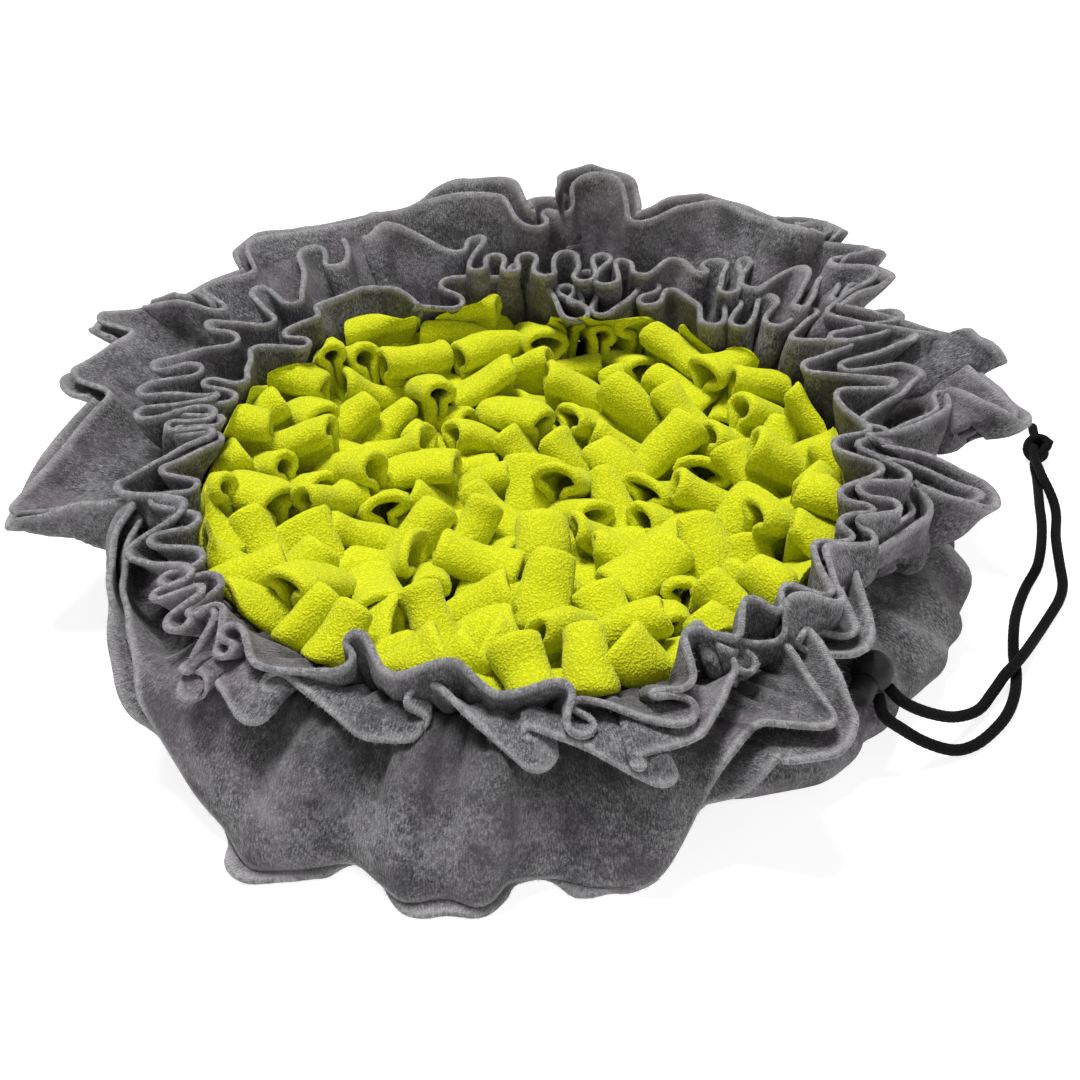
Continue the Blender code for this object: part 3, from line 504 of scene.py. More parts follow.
def grid_normals(grid: Array, closed: bool) -> Array:
    """Return the unit normals of a grid, to the left of its rows as seen along its columns."""
    if closed:
        along = np.roll(grid, -1, axis=1) - np.roll(grid, 1, axis=1)
    else:
        along = np.gradient(grid, axis=1)
    up = np.gradient(grid, axis=0)
    return unit(np.cross(unit(along), unit(up)))


def make_piece(name: str, points: Array, faces: Sequence[Sequence[int]],
               material: bpy.types.Material,
               marks: dict[str, Array] | None = None) -> bpy.types.Object:
    """Make a smooth mesh piece that rides on the mat.

    Args:
        name: Name of the piece.
        points: Array of points.
        faces: Rows of point indices.
        material: Finish of the piece.
        marks: Values that the mesh carries at its points, by name.

    Returns:
        The new piece.
    """
    mesh = bpy.data.meshes.new(name)
    mesh.from_pydata(points.tolist(), [], [list(face) for face in faces])
    for key, values in (marks or {}).items():
        kind, column = ('FLOAT_VECTOR', "vector") if values.ndim == 2 else ('FLOAT', "value")
        layer = mesh.attributes.new(key, kind, 'POINT')
        layer.data.foreach_set(column, np.ascontiguousarray(values, np.float32).ravel())
    mesh.shade_smooth()
    mesh.materials.append(material)
    piece = bpy.data.objects.new(name, mesh)
    bpy.context.scene.collection.objects.link(piece)
    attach(piece, BODY)
    log.info("%s: %d points, %d faces", name, len(points), len(faces))
    return piece


def band_faces(rows: int, columns: int, wrap_rows: bool, wrap_columns: bool) -> Array:
    """Return the quads of a grid of points, numbered row by row."""
    i, j = np.meshgrid(np.arange(rows if wrap_rows else rows - 1),
                       np.arange(columns if wrap_columns else columns - 1), indexing="ij")
    i, j = i.ravel(), j.ravel()
    k, m = (i + 1) % rows, (j + 1) % columns
    return np.stack([i * columns + j, i * columns + m, k * columns + m, k * columns + j], axis=-1)


class Cloth(NamedTuple):
    """A thick cloth as a closed grid: its points, faces and marks."""

    points: Array
    faces: list[list[int]]
    marks: dict[str, Array]


def thick_cloth(grid: Array, thickness: float, closed: bool, both_rims: bool,
                marks: dict[str, Array], rim_steps: int = 4) -> Cloth:
    """Give a grid of cloth its thickness, with a rounded cut edge.

    Args:
        grid: Middle of the cloth, rows of points from the root to the hem.
        thickness: Thickness of the cloth.
        closed: Whether each row runs once round and closes.
        both_rims: Whether the first row is a cut edge too.
        marks: Values for the grid's points, by name.
        rim_steps: Steps round half of a cut edge's section.

    Returns:
        The cloth. Its extra mark, core, is 1 in the middle of a cut edge.
    """
    normal = grid_normals(grid, closed) * (0.5 * thickness)
    angles = np.linspace(0.0, math.pi, rim_steps + 1)[1:-1]

    def rim(last: int, before: int) -> list[Array]:
        """Return the rounded rows beyond one edge row, from the outer face to the inner one."""
        out = unit(grid[last] - grid[before]) * (0.5 * thickness)
        return [grid[last] + math.cos(a) * normal[last] + math.sin(a) * out for a in angles]

    rows = [*(grid + normal), *rim(-1, -2), *(grid - normal)[::-1]]
    order = [*range(len(grid)), *[len(grid) - 1] * len(angles), *reversed(range(len(grid)))]
    core = [0.0] * len(grid) + [math.sin(a) ** 2 for a in angles] + [0.0] * len(grid)
    if both_rims:
        rows += reversed(rim(0, 1))
        order += [0] * len(angles)
        core += [math.sin(a) ** 2 for a in angles]
    points = np.array(rows)
    count, columns = points.shape[:2]
    faces = band_faces(count, columns, True, closed).tolist()
    if not closed:
        faces.append([i * columns for i in range(count)])
        faces.append([i * columns + columns - 1 for i in reversed(range(count))])
    carried = {key: values[order].reshape(count * columns, *values.shape[2:])
               for key, values in marks.items()}
    carried["core"] = np.repeat(core, columns)
    return Cloth(points.reshape(-1, 3), faces, carried)


def join_cloths(cloths: Sequence[Cloth]) -> Cloth:
    """Return several cloths as one."""
    starts = np.cumsum([0] + [len(cloth.points) for cloth in cloths])
    faces = [[start + k for k in face] for start, cloth in zip(starts, cloths)
             for face in cloth.faces]
    marks = {key: np.concatenate([cloth.marks[key] for cloth in cloths])
             for key in cloths[0].marks}
    return Cloth(np.concatenate([cloth.points for cloth in cloths]), faces, marks)


def smooth_path(points: Sequence[Sequence[float]], step: float, parts: int = 12) -> Array:
    """Return even steps along a smooth curve through the points.

    Args:
        points: Where the curve passes.
        step: Length of a step.
        parts: Pieces of the curve between two points, before it is stepped evenly.

    Returns:
        Rows of points from the first of them to the last.
    """
    places = np.array(points)
    ring = np.vstack([2 * places[0] - places[1], places, 2 * places[-1] - places[-2]])
    curve = []
    for p0, p1, p2, p3 in zip(ring, ring[1:], ring[2:], ring[3:]):
        for t in np.linspace(0.0, 1.0, parts, endpoint=False):
            curve.append(0.5 * (2 * p1 + (p2 - p0) * t + (2 * p0 - 5 * p1 + 4 * p2 - p3) * t**2
                                + (3 * p1 - p0 - 3 * p2 + p3) * t**3))
    curve = np.array([*curve, places[-1]])
    length = np.concatenate([[0.0], np.cumsum(np.linalg.norm(np.diff(curve, axis=0), axis=1))])
    wanted = np.linspace(0.0, length[-1], round(length[-1] / step) + 1)
    return np.stack([np.interp(wanted, length, column) for column in curve.T], axis=-1)


def path_length(path: Array) -> float:
    """Return the length of a line of points."""
    return float(np.linalg.norm(np.diff(path, axis=0), axis=1).sum())


# ---------------------------------------------------------------------------------------------
# Cord, lock and knot
# ---------------------------------------------------------------------------------------------

ON_FLOOR = 0.00285      # height of a strand's middle where it lies on the floor
LOCK_CENTRE = (0.1493, -0.1278, 0.0429)
LOCK_RADIUS = 0.0092
BUTTON_PROFILE = (      # radius, and height over the lock's middle
    (0.0, 0.0079), (0.0056, 0.0079), (0.0058, 0.0082), (0.0058, 0.0150), (0.0057, 0.0158),
    (0.0053, 0.0166), (0.0046, 0.0170), (0.0030, 0.0168), (0.0, 0.0167),
)
UPPER_ROUTE = (
    (0.1624, -0.1339, 0.0315), (0.1747, -0.1301, 0.0220), (0.1904, -0.1215, 0.0115),
    (0.2050, -0.1095, 0.0050), (0.2145, -0.0975, 0.0050), (0.2220, -0.0885, 0.0080),
    (0.2290, -0.0810, 0.0088), (0.2362, -0.0710, 0.0075), (0.2461, -0.0553, 0.0040),
    (0.2569, -0.0389, ON_FLOOR), (0.2657, -0.0252, ON_FLOOR), (0.2713, -0.0120, ON_FLOOR),
    (0.2750, 0.0071, ON_FLOOR), (0.2795, 0.0295, ON_FLOOR), (0.2850, 0.0480, ON_FLOOR),
    (0.2868, 0.0590, 0.0040), (0.2862, 0.0690, 0.0066), (0.2850, 0.0780, 0.0086),
    (0.2852, 0.0880, 0.0089),
)
LOWER_ROUTE = (
    (0.1533, -0.1410, 0.0300), (0.1627, -0.1400, 0.0210), (0.1747, -0.1380, 0.0115),
    (0.1880, -0.1352, 0.0045), (0.1985, -0.1305, ON_FLOOR), (0.2085, -0.1220, ON_FLOOR),
    (0.2180, -0.1105, ON_FLOOR), (0.2252, -0.0965, ON_FLOOR), (0.2298, -0.0815, ON_FLOOR),
    (0.2325, -0.0660, ON_FLOOR), (0.2385, -0.0444, ON_FLOOR), (0.2450, -0.0284, ON_FLOOR),
    (0.2522, -0.0144, ON_FLOOR), (0.2623, 0.0027, ON_FLOOR), (0.2695, 0.0213, ON_FLOOR),
    (0.2755, 0.0420, ON_FLOOR), (0.2792, 0.0599, ON_FLOOR), (0.2825, 0.0748, ON_FLOOR),
    (0.2855, 0.0888, ON_FLOOR),
)
KNOT_ROUTE = (
    (0.2855, 0.0889, 0.0029), (0.2860, 0.0960, 0.0042), (0.2880, 0.1020, 0.0050),
    (0.2925, 0.1060, 0.0085), (0.2960, 0.1100, 0.0110), (0.2935, 0.1150, 0.0118),
    (0.2880, 0.1155, 0.0100), (0.2855, 0.1110, 0.0062), (0.2890, 0.1065, 0.0034),
    (0.2945, 0.1090, 0.0036), (0.2955, 0.1140, 0.0060), (0.2925, 0.1190, 0.0085),
    (0.2922, 0.1250, 0.0098), (0.2930, 0.1310, 0.0108),
)
KNOT_LOOP = (
    (0.2852, 0.0881, 0.0089), (0.2862, 0.0990, 0.0080), (0.2875, 0.1070, 0.0095),
    (0.2895, 0.1130, 0.0066), (0.2950, 0.1165, 0.0050), (0.2995, 0.1185, 0.0068),
    (0.3010, 0.1190, 0.0085),
)


@dataclass
class Drawstring:
    """The cord's two strands, its lock and the knot at its end."""

    finish: BlackCord = BlackCord()
    plastic: BlackPlastic = BlackPlastic()
    diameter: float = 0.0053
    step: float = 0.0010
    sides: int = 28
    braid_length: float = 0.0075    # along the cord, one turn of a braided yarn
    yarns: int = 6
    braid_depth: float = 0.00022
    clearance: float = 0.0006
    cut_end: float = 0.72           # share of the radius at a melted cut end
    button_way: Point = (-0.50, -0.85, -0.15)
    mouth: tuple[float, float] = (0.0050, 0.0076)   # radius and height of the ball's flat top
    groove: float = 0.00022         # depth of the moulding line round the ball
    groove_width: float = 3.5       # degrees
    lock_sides: int = 56

    def build(self) -> None:
        """Build the knot first, then the strands, the lock and its button."""
        self.cord_material = self.finish.material()
        knot = self.build_knot()
        for name, route, node in (("strand_back", UPPER_ROUTE, "cord_back"),
                                  ("strand_front", LOWER_ROUTE, "cord_front")):
            self.build_strand(name, route, node)
        self.build_lock()

    def tube(self, path: Array, end: float = 1.0) -> Cloth:
        """Return a braided tube round a path.

        Args:
            path: Even steps along the middle of the tube.
            end: Share of the full radius at the far end.

        Returns:
            The tube, closed by a cap at both ends, with its braid mark.
        """
        ahead = unit(np.gradient(path, axis=0))
        side = unit(np.cross(ahead, (0.0, 0.0, 1.0)))
        up = np.cross(side, ahead)
        count = len(path)
        turn = np.linspace(0.0, TURN, self.sides, endpoint=False)
        phase = TURN * np.arange(count)[:, None] * self.step / self.braid_length
        yarns = [np.cos(0.5 * self.yarns * turn + way) ** 2 for way in (phase, -phase)]
        braid = np.maximum(*yarns) ** 1.5
        taper = np.ones(count)
        taper[-2:] = 0.5 * (1.0 + end), end
        radius = (0.5 * self.diameter - self.braid_depth * (1.0 - braid)) * taper[:, None]
        ring = (side[:, None] * np.cos(turn)[None, :, None]
                + up[:, None] * np.sin(turn)[None, :, None])
        points = path[:, None] + ring * radius[..., None]
        faces = band_faces(count, self.sides, False, True)[:, ::-1].tolist()
        faces.append(list(range(self.sides)))
        faces.append([(count - 1) * self.sides + k for k in reversed(range(self.sides))])
        return Cloth(points.reshape(-1, 3), faces, {"braid": braid.ravel()})

    def build_strand(self, name: str, route: Sequence[Sequence[float]], node: str) -> None:
        """Build one strand, straight out of the lock and then along its route.

        Args:
            name: Name of the strand.
            route: The points that it follows.
            node: The solid that it stands for.
        """
        centre = Vector(LOCK_CENTRE)
        way = (Vector(route[0]) - centre).normalized()
        start = centre + (LOCK_RADIUS + self.clearance) * way
        path = smooth_path([start, *route], self.step)
        tube = self.tube(path)
        strand = make_piece(name, tube.points, tube.faces, self.cord_material,
                            tube.marks)
        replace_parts(strand, node)

    def build_knot(self) -> bpy.types.Object:
        """Build the knot that joins the strands, with the two cut ends beyond it."""
        joined = join_cloths([self.tube(smooth_path(route, self.step), self.cut_end)
                              for route in (KNOT_ROUTE, KNOT_LOOP)])
        knot = make_piece("end_knot", joined.points, joined.faces, self.cord_material,
                          joined.marks)
        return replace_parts(knot, "cord_knot")

    def build_lock(self) -> None:
        """Dress the lock's ball and button, which are finer turned forms of their solids."""
        material = self.plastic.material()
        turned = Vector(self.button_way).normalized().to_track_quat('Z', 'Y').to_matrix()
        ball = [(0.0, -LOCK_RADIUS)]
        for degrees in range(-84, 55, 4):
            radius = LOCK_RADIUS - self.groove * math.exp(-(degrees / self.groove_width) ** 2)
            angle = math.radians(degrees)
            ball.append((radius * math.cos(angle), radius * math.sin(angle)))
        ball += [self.mouth, (0.0, self.mouth[1])]
        for name, node, profile in (("lock_ball", "lock_body", ball),
                                    ("lock_push_button", "lock_button", BUTTON_PROFILE)):
            points, faces = turned_form(profile, self.lock_sides)
            points = np.array([Vector(LOCK_CENTRE) + turned @ Vector(p) for p in points])
            piece = make_piece(name, points, faces, material)
            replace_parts(piece, node)


def turned_form(profile: Sequence[tuple[float, float]], sides: int) -> tuple[list, list]:
    """Return points and faces of a profile (radius, height), turned about Z and closed."""
    inner = profile[1:-1]
    points = [(0.0, 0.0, profile[0][1])]
    for radius, height in inner:
        points += [(radius * math.cos(TURN * k / sides), radius * math.sin(TURN * k / sides),
                    height) for k in range(sides)]
    points.append((0.0, 0.0, profile[-1][1]))
    faces = [[0, 1 + (k + 1) % sides, 1 + k] for k in range(sides)]
    faces += (1 + band_faces(len(inner), sides, False, True)).tolist()
    last = 1 + (len(inner) - 1) * sides
    faces += [[last + k, last + (k + 1) % sides, len(points) - 1] for k in range(sides)]
    return points, faces


# ---------------------------------------------------------------------------------------------
# Gathered plies
# ---------------------------------------------------------------------------------------------


def fold_rows(*rows: tuple[float, float, float, float]) -> list[Fold]:
    """Return a hem's table, whose rows are across, down, height and bend."""
    return [Fold(*row) for row in rows]


SEAM_RADIUS = 0.1600
SEAM_HEIGHT = 0.0540
SEAM_SLOPE = math.radians(-38.0)
PLY_STEP = 0.0026

FLOUNCE_FOLDS = fold_rows(
    (764, 733, 0.062, -0.006), (820, 718, 0.064, 0.005), (794, 635, 0.068, -0.005),
    (842, 627, 0.066, 0.004), (851, 572, 0.07, -0.006), (903, 510, 0.072, 0.003),
    (915, 491, 0.074, -0.004), (971, 497, 0.074, 0.005), (880, 447, 0.082, -0.004),
    (928, 408, 0.085, 0.003), (943, 397, 0.086, -0.003), (1003, 410, 0.084, 0.006),
    (956, 345, 0.092, -0.004), (983, 347, 0.092, 0.005), (838, 313, 0.098, -0.004),
    (868, 272, 0.104, 0.005), (838, 262, 0.106, -0.003), (862, 250, 0.106, 0.003),
    (826, 240, 0.108, -0.003), (822, 227, 0.11, 0.004), (795, 232, 0.111, 0.008),
    (757, 212, 0.112, -0.008), (723, 206, 0.118, 0.0036), (690, 215, 0.118, 0.012),
    (636, 218, 0.114, -0.0036), (612, 182, 0.13, 0.005), (581, 185, 0.13, 0.004),
    (568, 208, 0.118, -0.003), (548, 214, 0.114, 0.003), (530, 222, 0.112, -0.009),
    (494, 200, 0.122, 0.005), (440, 203, 0.12, 0.008), (408, 206, 0.112, -0.003),
    (366, 215, 0.106, -0.004), (256, 247, 0.1, 0.005), (244, 270, 0.094, -0.004),
    (214, 288, 0.092, 0.004), (218, 308, 0.088, -0.003), (170, 306, 0.092, 0.004),
    (148, 304, 0.084, -0.003), (106, 318, 0.08, 0.003), (122, 334, 0.08, -0.0035),
    (84, 370, 0.076, 0.004), (95, 398, 0.074, -0.005), (24, 507, 0.058, 0.004), (127, 506, 0.066, -0.004),
    (146, 560, 0.064, 0.01), (176, 690, 0.044, 0.015), (214, 838, 0.008, -0.006), (262, 850, 0.004, 0.01),
    (335, 884, 0.004, -0.012), (412, 882, 0.004, 0.009), (472, 888, 0.004, 0.008),
    (514, 890, 0.006, -0.0075), (636, 868, 0.004, 0.008),
)
FLOUNCE_SWELLS = (
    Swell(233.0, 4.0, 0.004), Swell(240.5, 3.6, -0.008), Swell(246.5, 3.2, 0.006),
    Swell(252.5, 3.4, -0.007), Swell(257.0, 3.0, 0.005), Swell(261.5, 3.2, -0.009),
    Swell(267.5, 3.4, 0.009), Swell(275.0, 5.0, -0.007), Swell(285.5, 4.0, 0.007),
    Swell(291.5, 2.8, -0.006),
)
FLOUNCE_SPREAD = (
    Spread(0.0, 0.0034, 0.0030, 100.0), Spread(45.0, 0.0044, 0.0035, 70.0),
    Spread(90.0, 0.0042, 0.0060, 60.0), Spread(140.0, 0.0036, 0.0035, 70.0),
    Spread(200.0, 0.0040, 0.0035, 120.0), Spread(236.0, 0.0036, 0.0088, 60.0),
    Spread(250.0, 0.0036, 0.0115, 60.0), Spread(270.0, 0.0036, 0.0120, 50.0),
    Spread(290.0, 0.0070, 0.0115, 40.0), Spread(306.0, 0.0058, 0.0040, 10.0),
    Spread(330.0, 0.0046, 0.0035, 10.0), Spread(345.0, 0.0040, 0.0030, 70.0),
)
MIDDLE_FOLDS = fold_rows(
    (194, 690, 0.06, 0.0062), (187, 669, 0.066, -0.0014), (201, 669, 0.066, -0.0032),
    (257, 708, 0.056, 0.0088), (277, 683, 0.066, -0.0062), (378, 717, 0.054, 0.0125),
    (406, 725, 0.054, 0.008), (421, 697, 0.066, -0.0068), (536, 757, 0.054, 0.0068),
    (529, 734, 0.062, -0.0016), (660, 772, 0.056, 0.0064), (637, 764, 0.062, -0.0014),
    (688, 722, 0.064, 0.008), (716, 668, 0.07, 0.0085), (699, 627, 0.076, -0.0016),
    (745, 664, 0.066, 0.003), (727, 640, 0.076, -0.0022), (776, 632, 0.072, 0.0026),
    (793, 607, 0.082, -0.0032), (832, 596, 0.08, 0.0028), (838, 552, 0.086, -0.0034),
    (866, 540, 0.082, 0.0024), (862, 522, 0.086, -0.0028), (888, 508, 0.084, 0.0024),
    (872, 488, 0.088, -0.0042), (898, 476, 0.086, 0.0028), (868, 446, 0.088, -0.003),
    (880, 432, 0.087, 0.002), (872, 420, 0.088, -0.0024), (906, 374, 0.09, 0.0085),
    (848, 367, 0.092, -0.0022), (903, 335, 0.094, 0.007), (840, 338, 0.094, -0.003),
    (893, 314, 0.096, 0.0024), (834, 312, 0.096, -0.0024), (862, 288, 0.098, 0.0026),
    (838, 298, 0.097, -0.0018), (828, 280, 0.099, 0.0026), (802, 304, 0.096, -0.0026),
    (800, 272, 0.1, 0.0036), (754, 284, 0.097, -0.0042), (745, 262, 0.1, 0.0024),
    (728, 290, 0.097, -0.004), (716, 266, 0.1, 0.0078), (701, 271, 0.098, -0.003), (676, 264, 0.1, 0.004),
    (642, 272, 0.098, -0.006), (622, 264, 0.101, 0.003), (606, 280, 0.098, -0.0036),
    (602, 259, 0.102, 0.0046), (584, 276, 0.099, -0.004), (566, 256, 0.102, 0.0044),
    (545, 272, 0.099, -0.0036), (528, 258, 0.102, 0.0036), (510, 270, 0.099, -0.0036),
    (494, 259, 0.102, 0.0036), (478, 268, 0.099, -0.003), (476, 240, 0.102, 0.0026),
    (458, 248, 0.098, -0.0055), (381, 228, 0.104, 0.0026), (368, 235, 0.099, -0.003),
    (352, 232, 0.1, 0.004), (334, 262, 0.096, -0.0036), (312, 250, 0.098, 0.003),
    (291, 300, 0.093, -0.0052), (262, 292, 0.094, 0.0032), (262, 320, 0.091, -0.0042),
    (214, 326, 0.09, 0.0028), (226, 339, 0.089, -0.0036), (163, 366, 0.084, 0.0048),
    (186, 370, 0.086, -0.0042), (152, 390, 0.084, 0.0034), (212, 396, 0.086, -0.0022),
    (146, 414, 0.082, 0.0028), (205, 412, 0.085, -0.0024), (176, 426, 0.082, 0.0018),
    (204, 433, 0.083, -0.0026), (126, 486, 0.074, 0.003), (172, 506, 0.08, -0.0042),
    (140, 552, 0.07, 0.003), (178, 573, 0.076, -0.0056), (160, 596, 0.07, 0.002),
    (196, 590, 0.076, -0.0022), (178, 624, 0.069, 0.0048), (203, 614, 0.073, -0.0034),
)
INNER_FOLDS = fold_rows(
    (224, 650, 0.071, 0.0038), (231, 632, 0.078, -0.0045), (268, 652, 0.072, 0.007),
    (337, 657, 0.072, 0.0058), (355, 640, 0.08, -0.0056), (404, 660, 0.072, 0.009),
    (452, 671, 0.078, -0.0046), (500, 682, 0.07, 0.008), (554, 692, 0.076, -0.0036),
    (581, 726, 0.067, 0.0048), (578, 706, 0.07, -0.0012), (680, 710, 0.07, 0.0055),
    (656, 694, 0.074, -0.0014), (677, 677, 0.076, 0.0055), (698, 637, 0.082, -0.0056),
    (729, 632, 0.078, 0.0024), (754, 604, 0.084, -0.0046), (776, 606, 0.08, 0.0022),
    (790, 590, 0.084, -0.0034), (822, 590, 0.082, 0.0024), (827, 548, 0.086, -0.0044),
    (848, 536, 0.084, 0.0022), (849, 523, 0.087, -0.0034), (866, 510, 0.085, 0.0022),
    (853, 494, 0.088, -0.005), (872, 468, 0.086, 0.0026), (851, 444, 0.089, -0.0034),
    (862, 428, 0.088, 0.002), (846, 396, 0.091, -0.0042), (886, 384, 0.091, 0.0034),
    (815, 366, 0.09, -0.0046), (842, 344, 0.092, 0.0026), (800, 336, 0.09, -0.004),
    (808, 312, 0.092, 0.0026), (776, 322, 0.089, -0.004), (768, 300, 0.092, 0.003),
    (740, 324, 0.088, -0.0036), (733, 304, 0.091, 0.0026), (712, 322, 0.086, -0.005),
    (690, 308, 0.088, 0.0034), (672, 294, 0.09, 0.004), (650, 302, 0.087, -0.0052),
    (650, 288, 0.09, 0.004), (603, 309, 0.086, -0.004), (588, 276, 0.092, 0.005),
    (575, 300, 0.088, -0.003), (566, 290, 0.09, 0.002), (574, 312, 0.086, -0.0038),
    (520, 269, 0.094, 0.0052), (512, 276, 0.093, -0.0012), (452, 284, 0.091, 0.0045),
    (452, 303, 0.086, -0.0034), (410, 314, 0.087, 0.01), (393, 286, 0.09, -0.0044),
    (381, 290, 0.088, 0.002), (374, 286, 0.089, -0.0012), (362, 292, 0.088, 0.0034),
    (346, 290, 0.088, -0.005), (328, 308, 0.087, 0.006), (305, 316, 0.088, -0.004),
    (292, 334, 0.086, 0.0028), (300, 344, 0.085, -0.0026), (262, 352, 0.085, 0.005),
    (240, 378, 0.085, -0.0046), (210, 384, 0.084, 0.0024), (224, 398, 0.084, -0.003),
    (186, 410, 0.082, 0.0024), (214, 420, 0.083, -0.0028), (182, 432, 0.08, 0.0022),
    (208, 440, 0.081, -0.0034), (170, 470, 0.078, 0.0026), (190, 486, 0.079, -0.003),
    (160, 502, 0.076, 0.0022), (186, 520, 0.078, -0.0036), (158, 540, 0.074, 0.0022),
    (188, 556, 0.076, -0.0034), (170, 580, 0.072, 0.0022), (204, 584, 0.075, -0.0036),
    (196, 612, 0.071, 0.0022), (214, 610, 0.075, -0.0024),
)


def turns_of(folds: Sequence[Fold], studio: Studio) -> list[Turn]:
    """Return the turns of a hem from the folds that the camera sees."""
    turns = []
    for fold in folds:
        x, y = studio.seen_at(fold.across, fold.down, fold.height)
        turns.append(Turn(math.degrees(math.atan2(y, x)) % 360.0, math.hypot(x, y), fold.height,
                          fold.bend))
    return turns


def centres_of(turns: Sequence[Turn]) -> Array:
    """Return where the axis of each roller stands, as rows of x and y."""
    azimuth = np.radians([turn.azimuth for turn in turns])
    reach = np.array([turn.reach for turn in turns])
    return np.stack([reach * np.cos(azimuth), reach * np.sin(azimuth)], axis=-1)


def widened(turns: Sequence[Turn], growth: float, room: float = 0.47,
            widest: float = 0.0062) -> list[Turn]:
    """Widen a hem's tight rollers as far as their neighbours leave room.

    Args:
        turns: The rollers in cloth order, once round.
        growth: Most that a roller grows, as a multiple of its bend.
        room: Share of the way to the nearest neighbour that a grown roller may take.
        widest: Radius over which a roller doesn't grow.

    Returns:
        The rollers with their new bends.
    """
    centre = centres_of(turns)
    gap = np.linalg.norm(np.roll(centre, -1, axis=0) - centre, axis=1)
    free = room * np.minimum(gap, np.roll(gap, 1))
    wide = []
    for turn, space in zip(turns, free):
        old = abs(turn.bend)
        new = max(old, min(growth * old, float(space), widest))
        wide.append(turn._replace(bend=math.copysign(new, turn.bend)))
    return wide


def belt(turns: Sequence[Turn], spacing: float, half_arc: int = 6, steepest: float = 0.97,
         brushed: float = 0.875) -> Array:
    """Run a hem round its rollers, tangent to each.

    Args:
        turns: The rollers in cloth order, once round.
        spacing: Step between the returned points.
        half_arc: Steps along half of the cloth's arc round a roller.
        steepest: Sine of the most that the hem leans across the line between two rollers.
        brushed: Share of a whole turn over which a roller counts as only brushed.

    Returns:
        Rows of azimuth (radians, rising over the whole turn), radius and height.
    """
    bend = np.array([turn.bend for turn in turns])
    centre = centres_of(turns)
    gap = np.roll(centre, -1, axis=0) - centre
    lean = (bend - np.roll(bend, -1)) / np.linalg.norm(gap, axis=1)
    heading = (np.arctan2(gap[:, 1], gap[:, 0])
               + np.arcsin(np.clip(lean, -steepest, steepest)))
    line, marks = [], []
    for i, turn in enumerate(turns):
        sense = math.copysign(1.0, turn.bend)
        sweep = (sense * (heading[i] - heading[i - 1])) % TURN
        if sweep > brushed * TURN:
            sweep -= TURN
        ways = heading[i - 1] + sense * np.linspace(0.0, sweep, 2 * half_arc + 1)
        marks.append(len(line) + half_arc)
        line += list(centre[i] + turn.bend * np.stack([np.sin(ways), -np.cos(ways)], axis=-1))
    line = np.array(line)
    length = np.linalg.norm(np.roll(line, -1, axis=0) - line, axis=1)
    places = np.concatenate([[0.0], np.cumsum(length)])
    wanted = np.linspace(0.0, places[-1], round(places[-1] / spacing), endpoint=False)
    looped = np.vstack([line, line[:1]])
    even = evened(np.stack([np.interp(wanted, places, column) for column in looped.T], axis=-1))
    heights = round_table(places[marks], np.array([turn.height for turn in turns]), wanted,
                          places[-1])
    around = np.unwrap(np.arctan2(even[:, 1], even[:, 0]))
    return np.stack([around, np.hypot(even[:, 0], even[:, 1]), heights], axis=-1)


def gathered_root(hem: Array, window: float) -> Array:
    """Return the azimuth at which each column of cloth is gathered into the seam.

    Args:
        hem: Rows of azimuth, radius and height, evenly spaced along the cloth.
        window: Length of cloth over which the azimuth is averaged.

    Returns:
        One azimuth for each row of the hem.
    """
    step = np.linalg.norm(np.diff(to_xyz(*hem[:2].T), axis=0))
    kernel = np.hanning(2 * round(0.5 * window / step) + 3)[1:-1]
    long = np.concatenate([hem[:, 0] - TURN, hem[:, 0], hem[:, 0] + TURN])
    smooth = np.convolve(long, kernel / kernel.sum(), mode="same")
    return smooth[len(hem):2 * len(hem)]


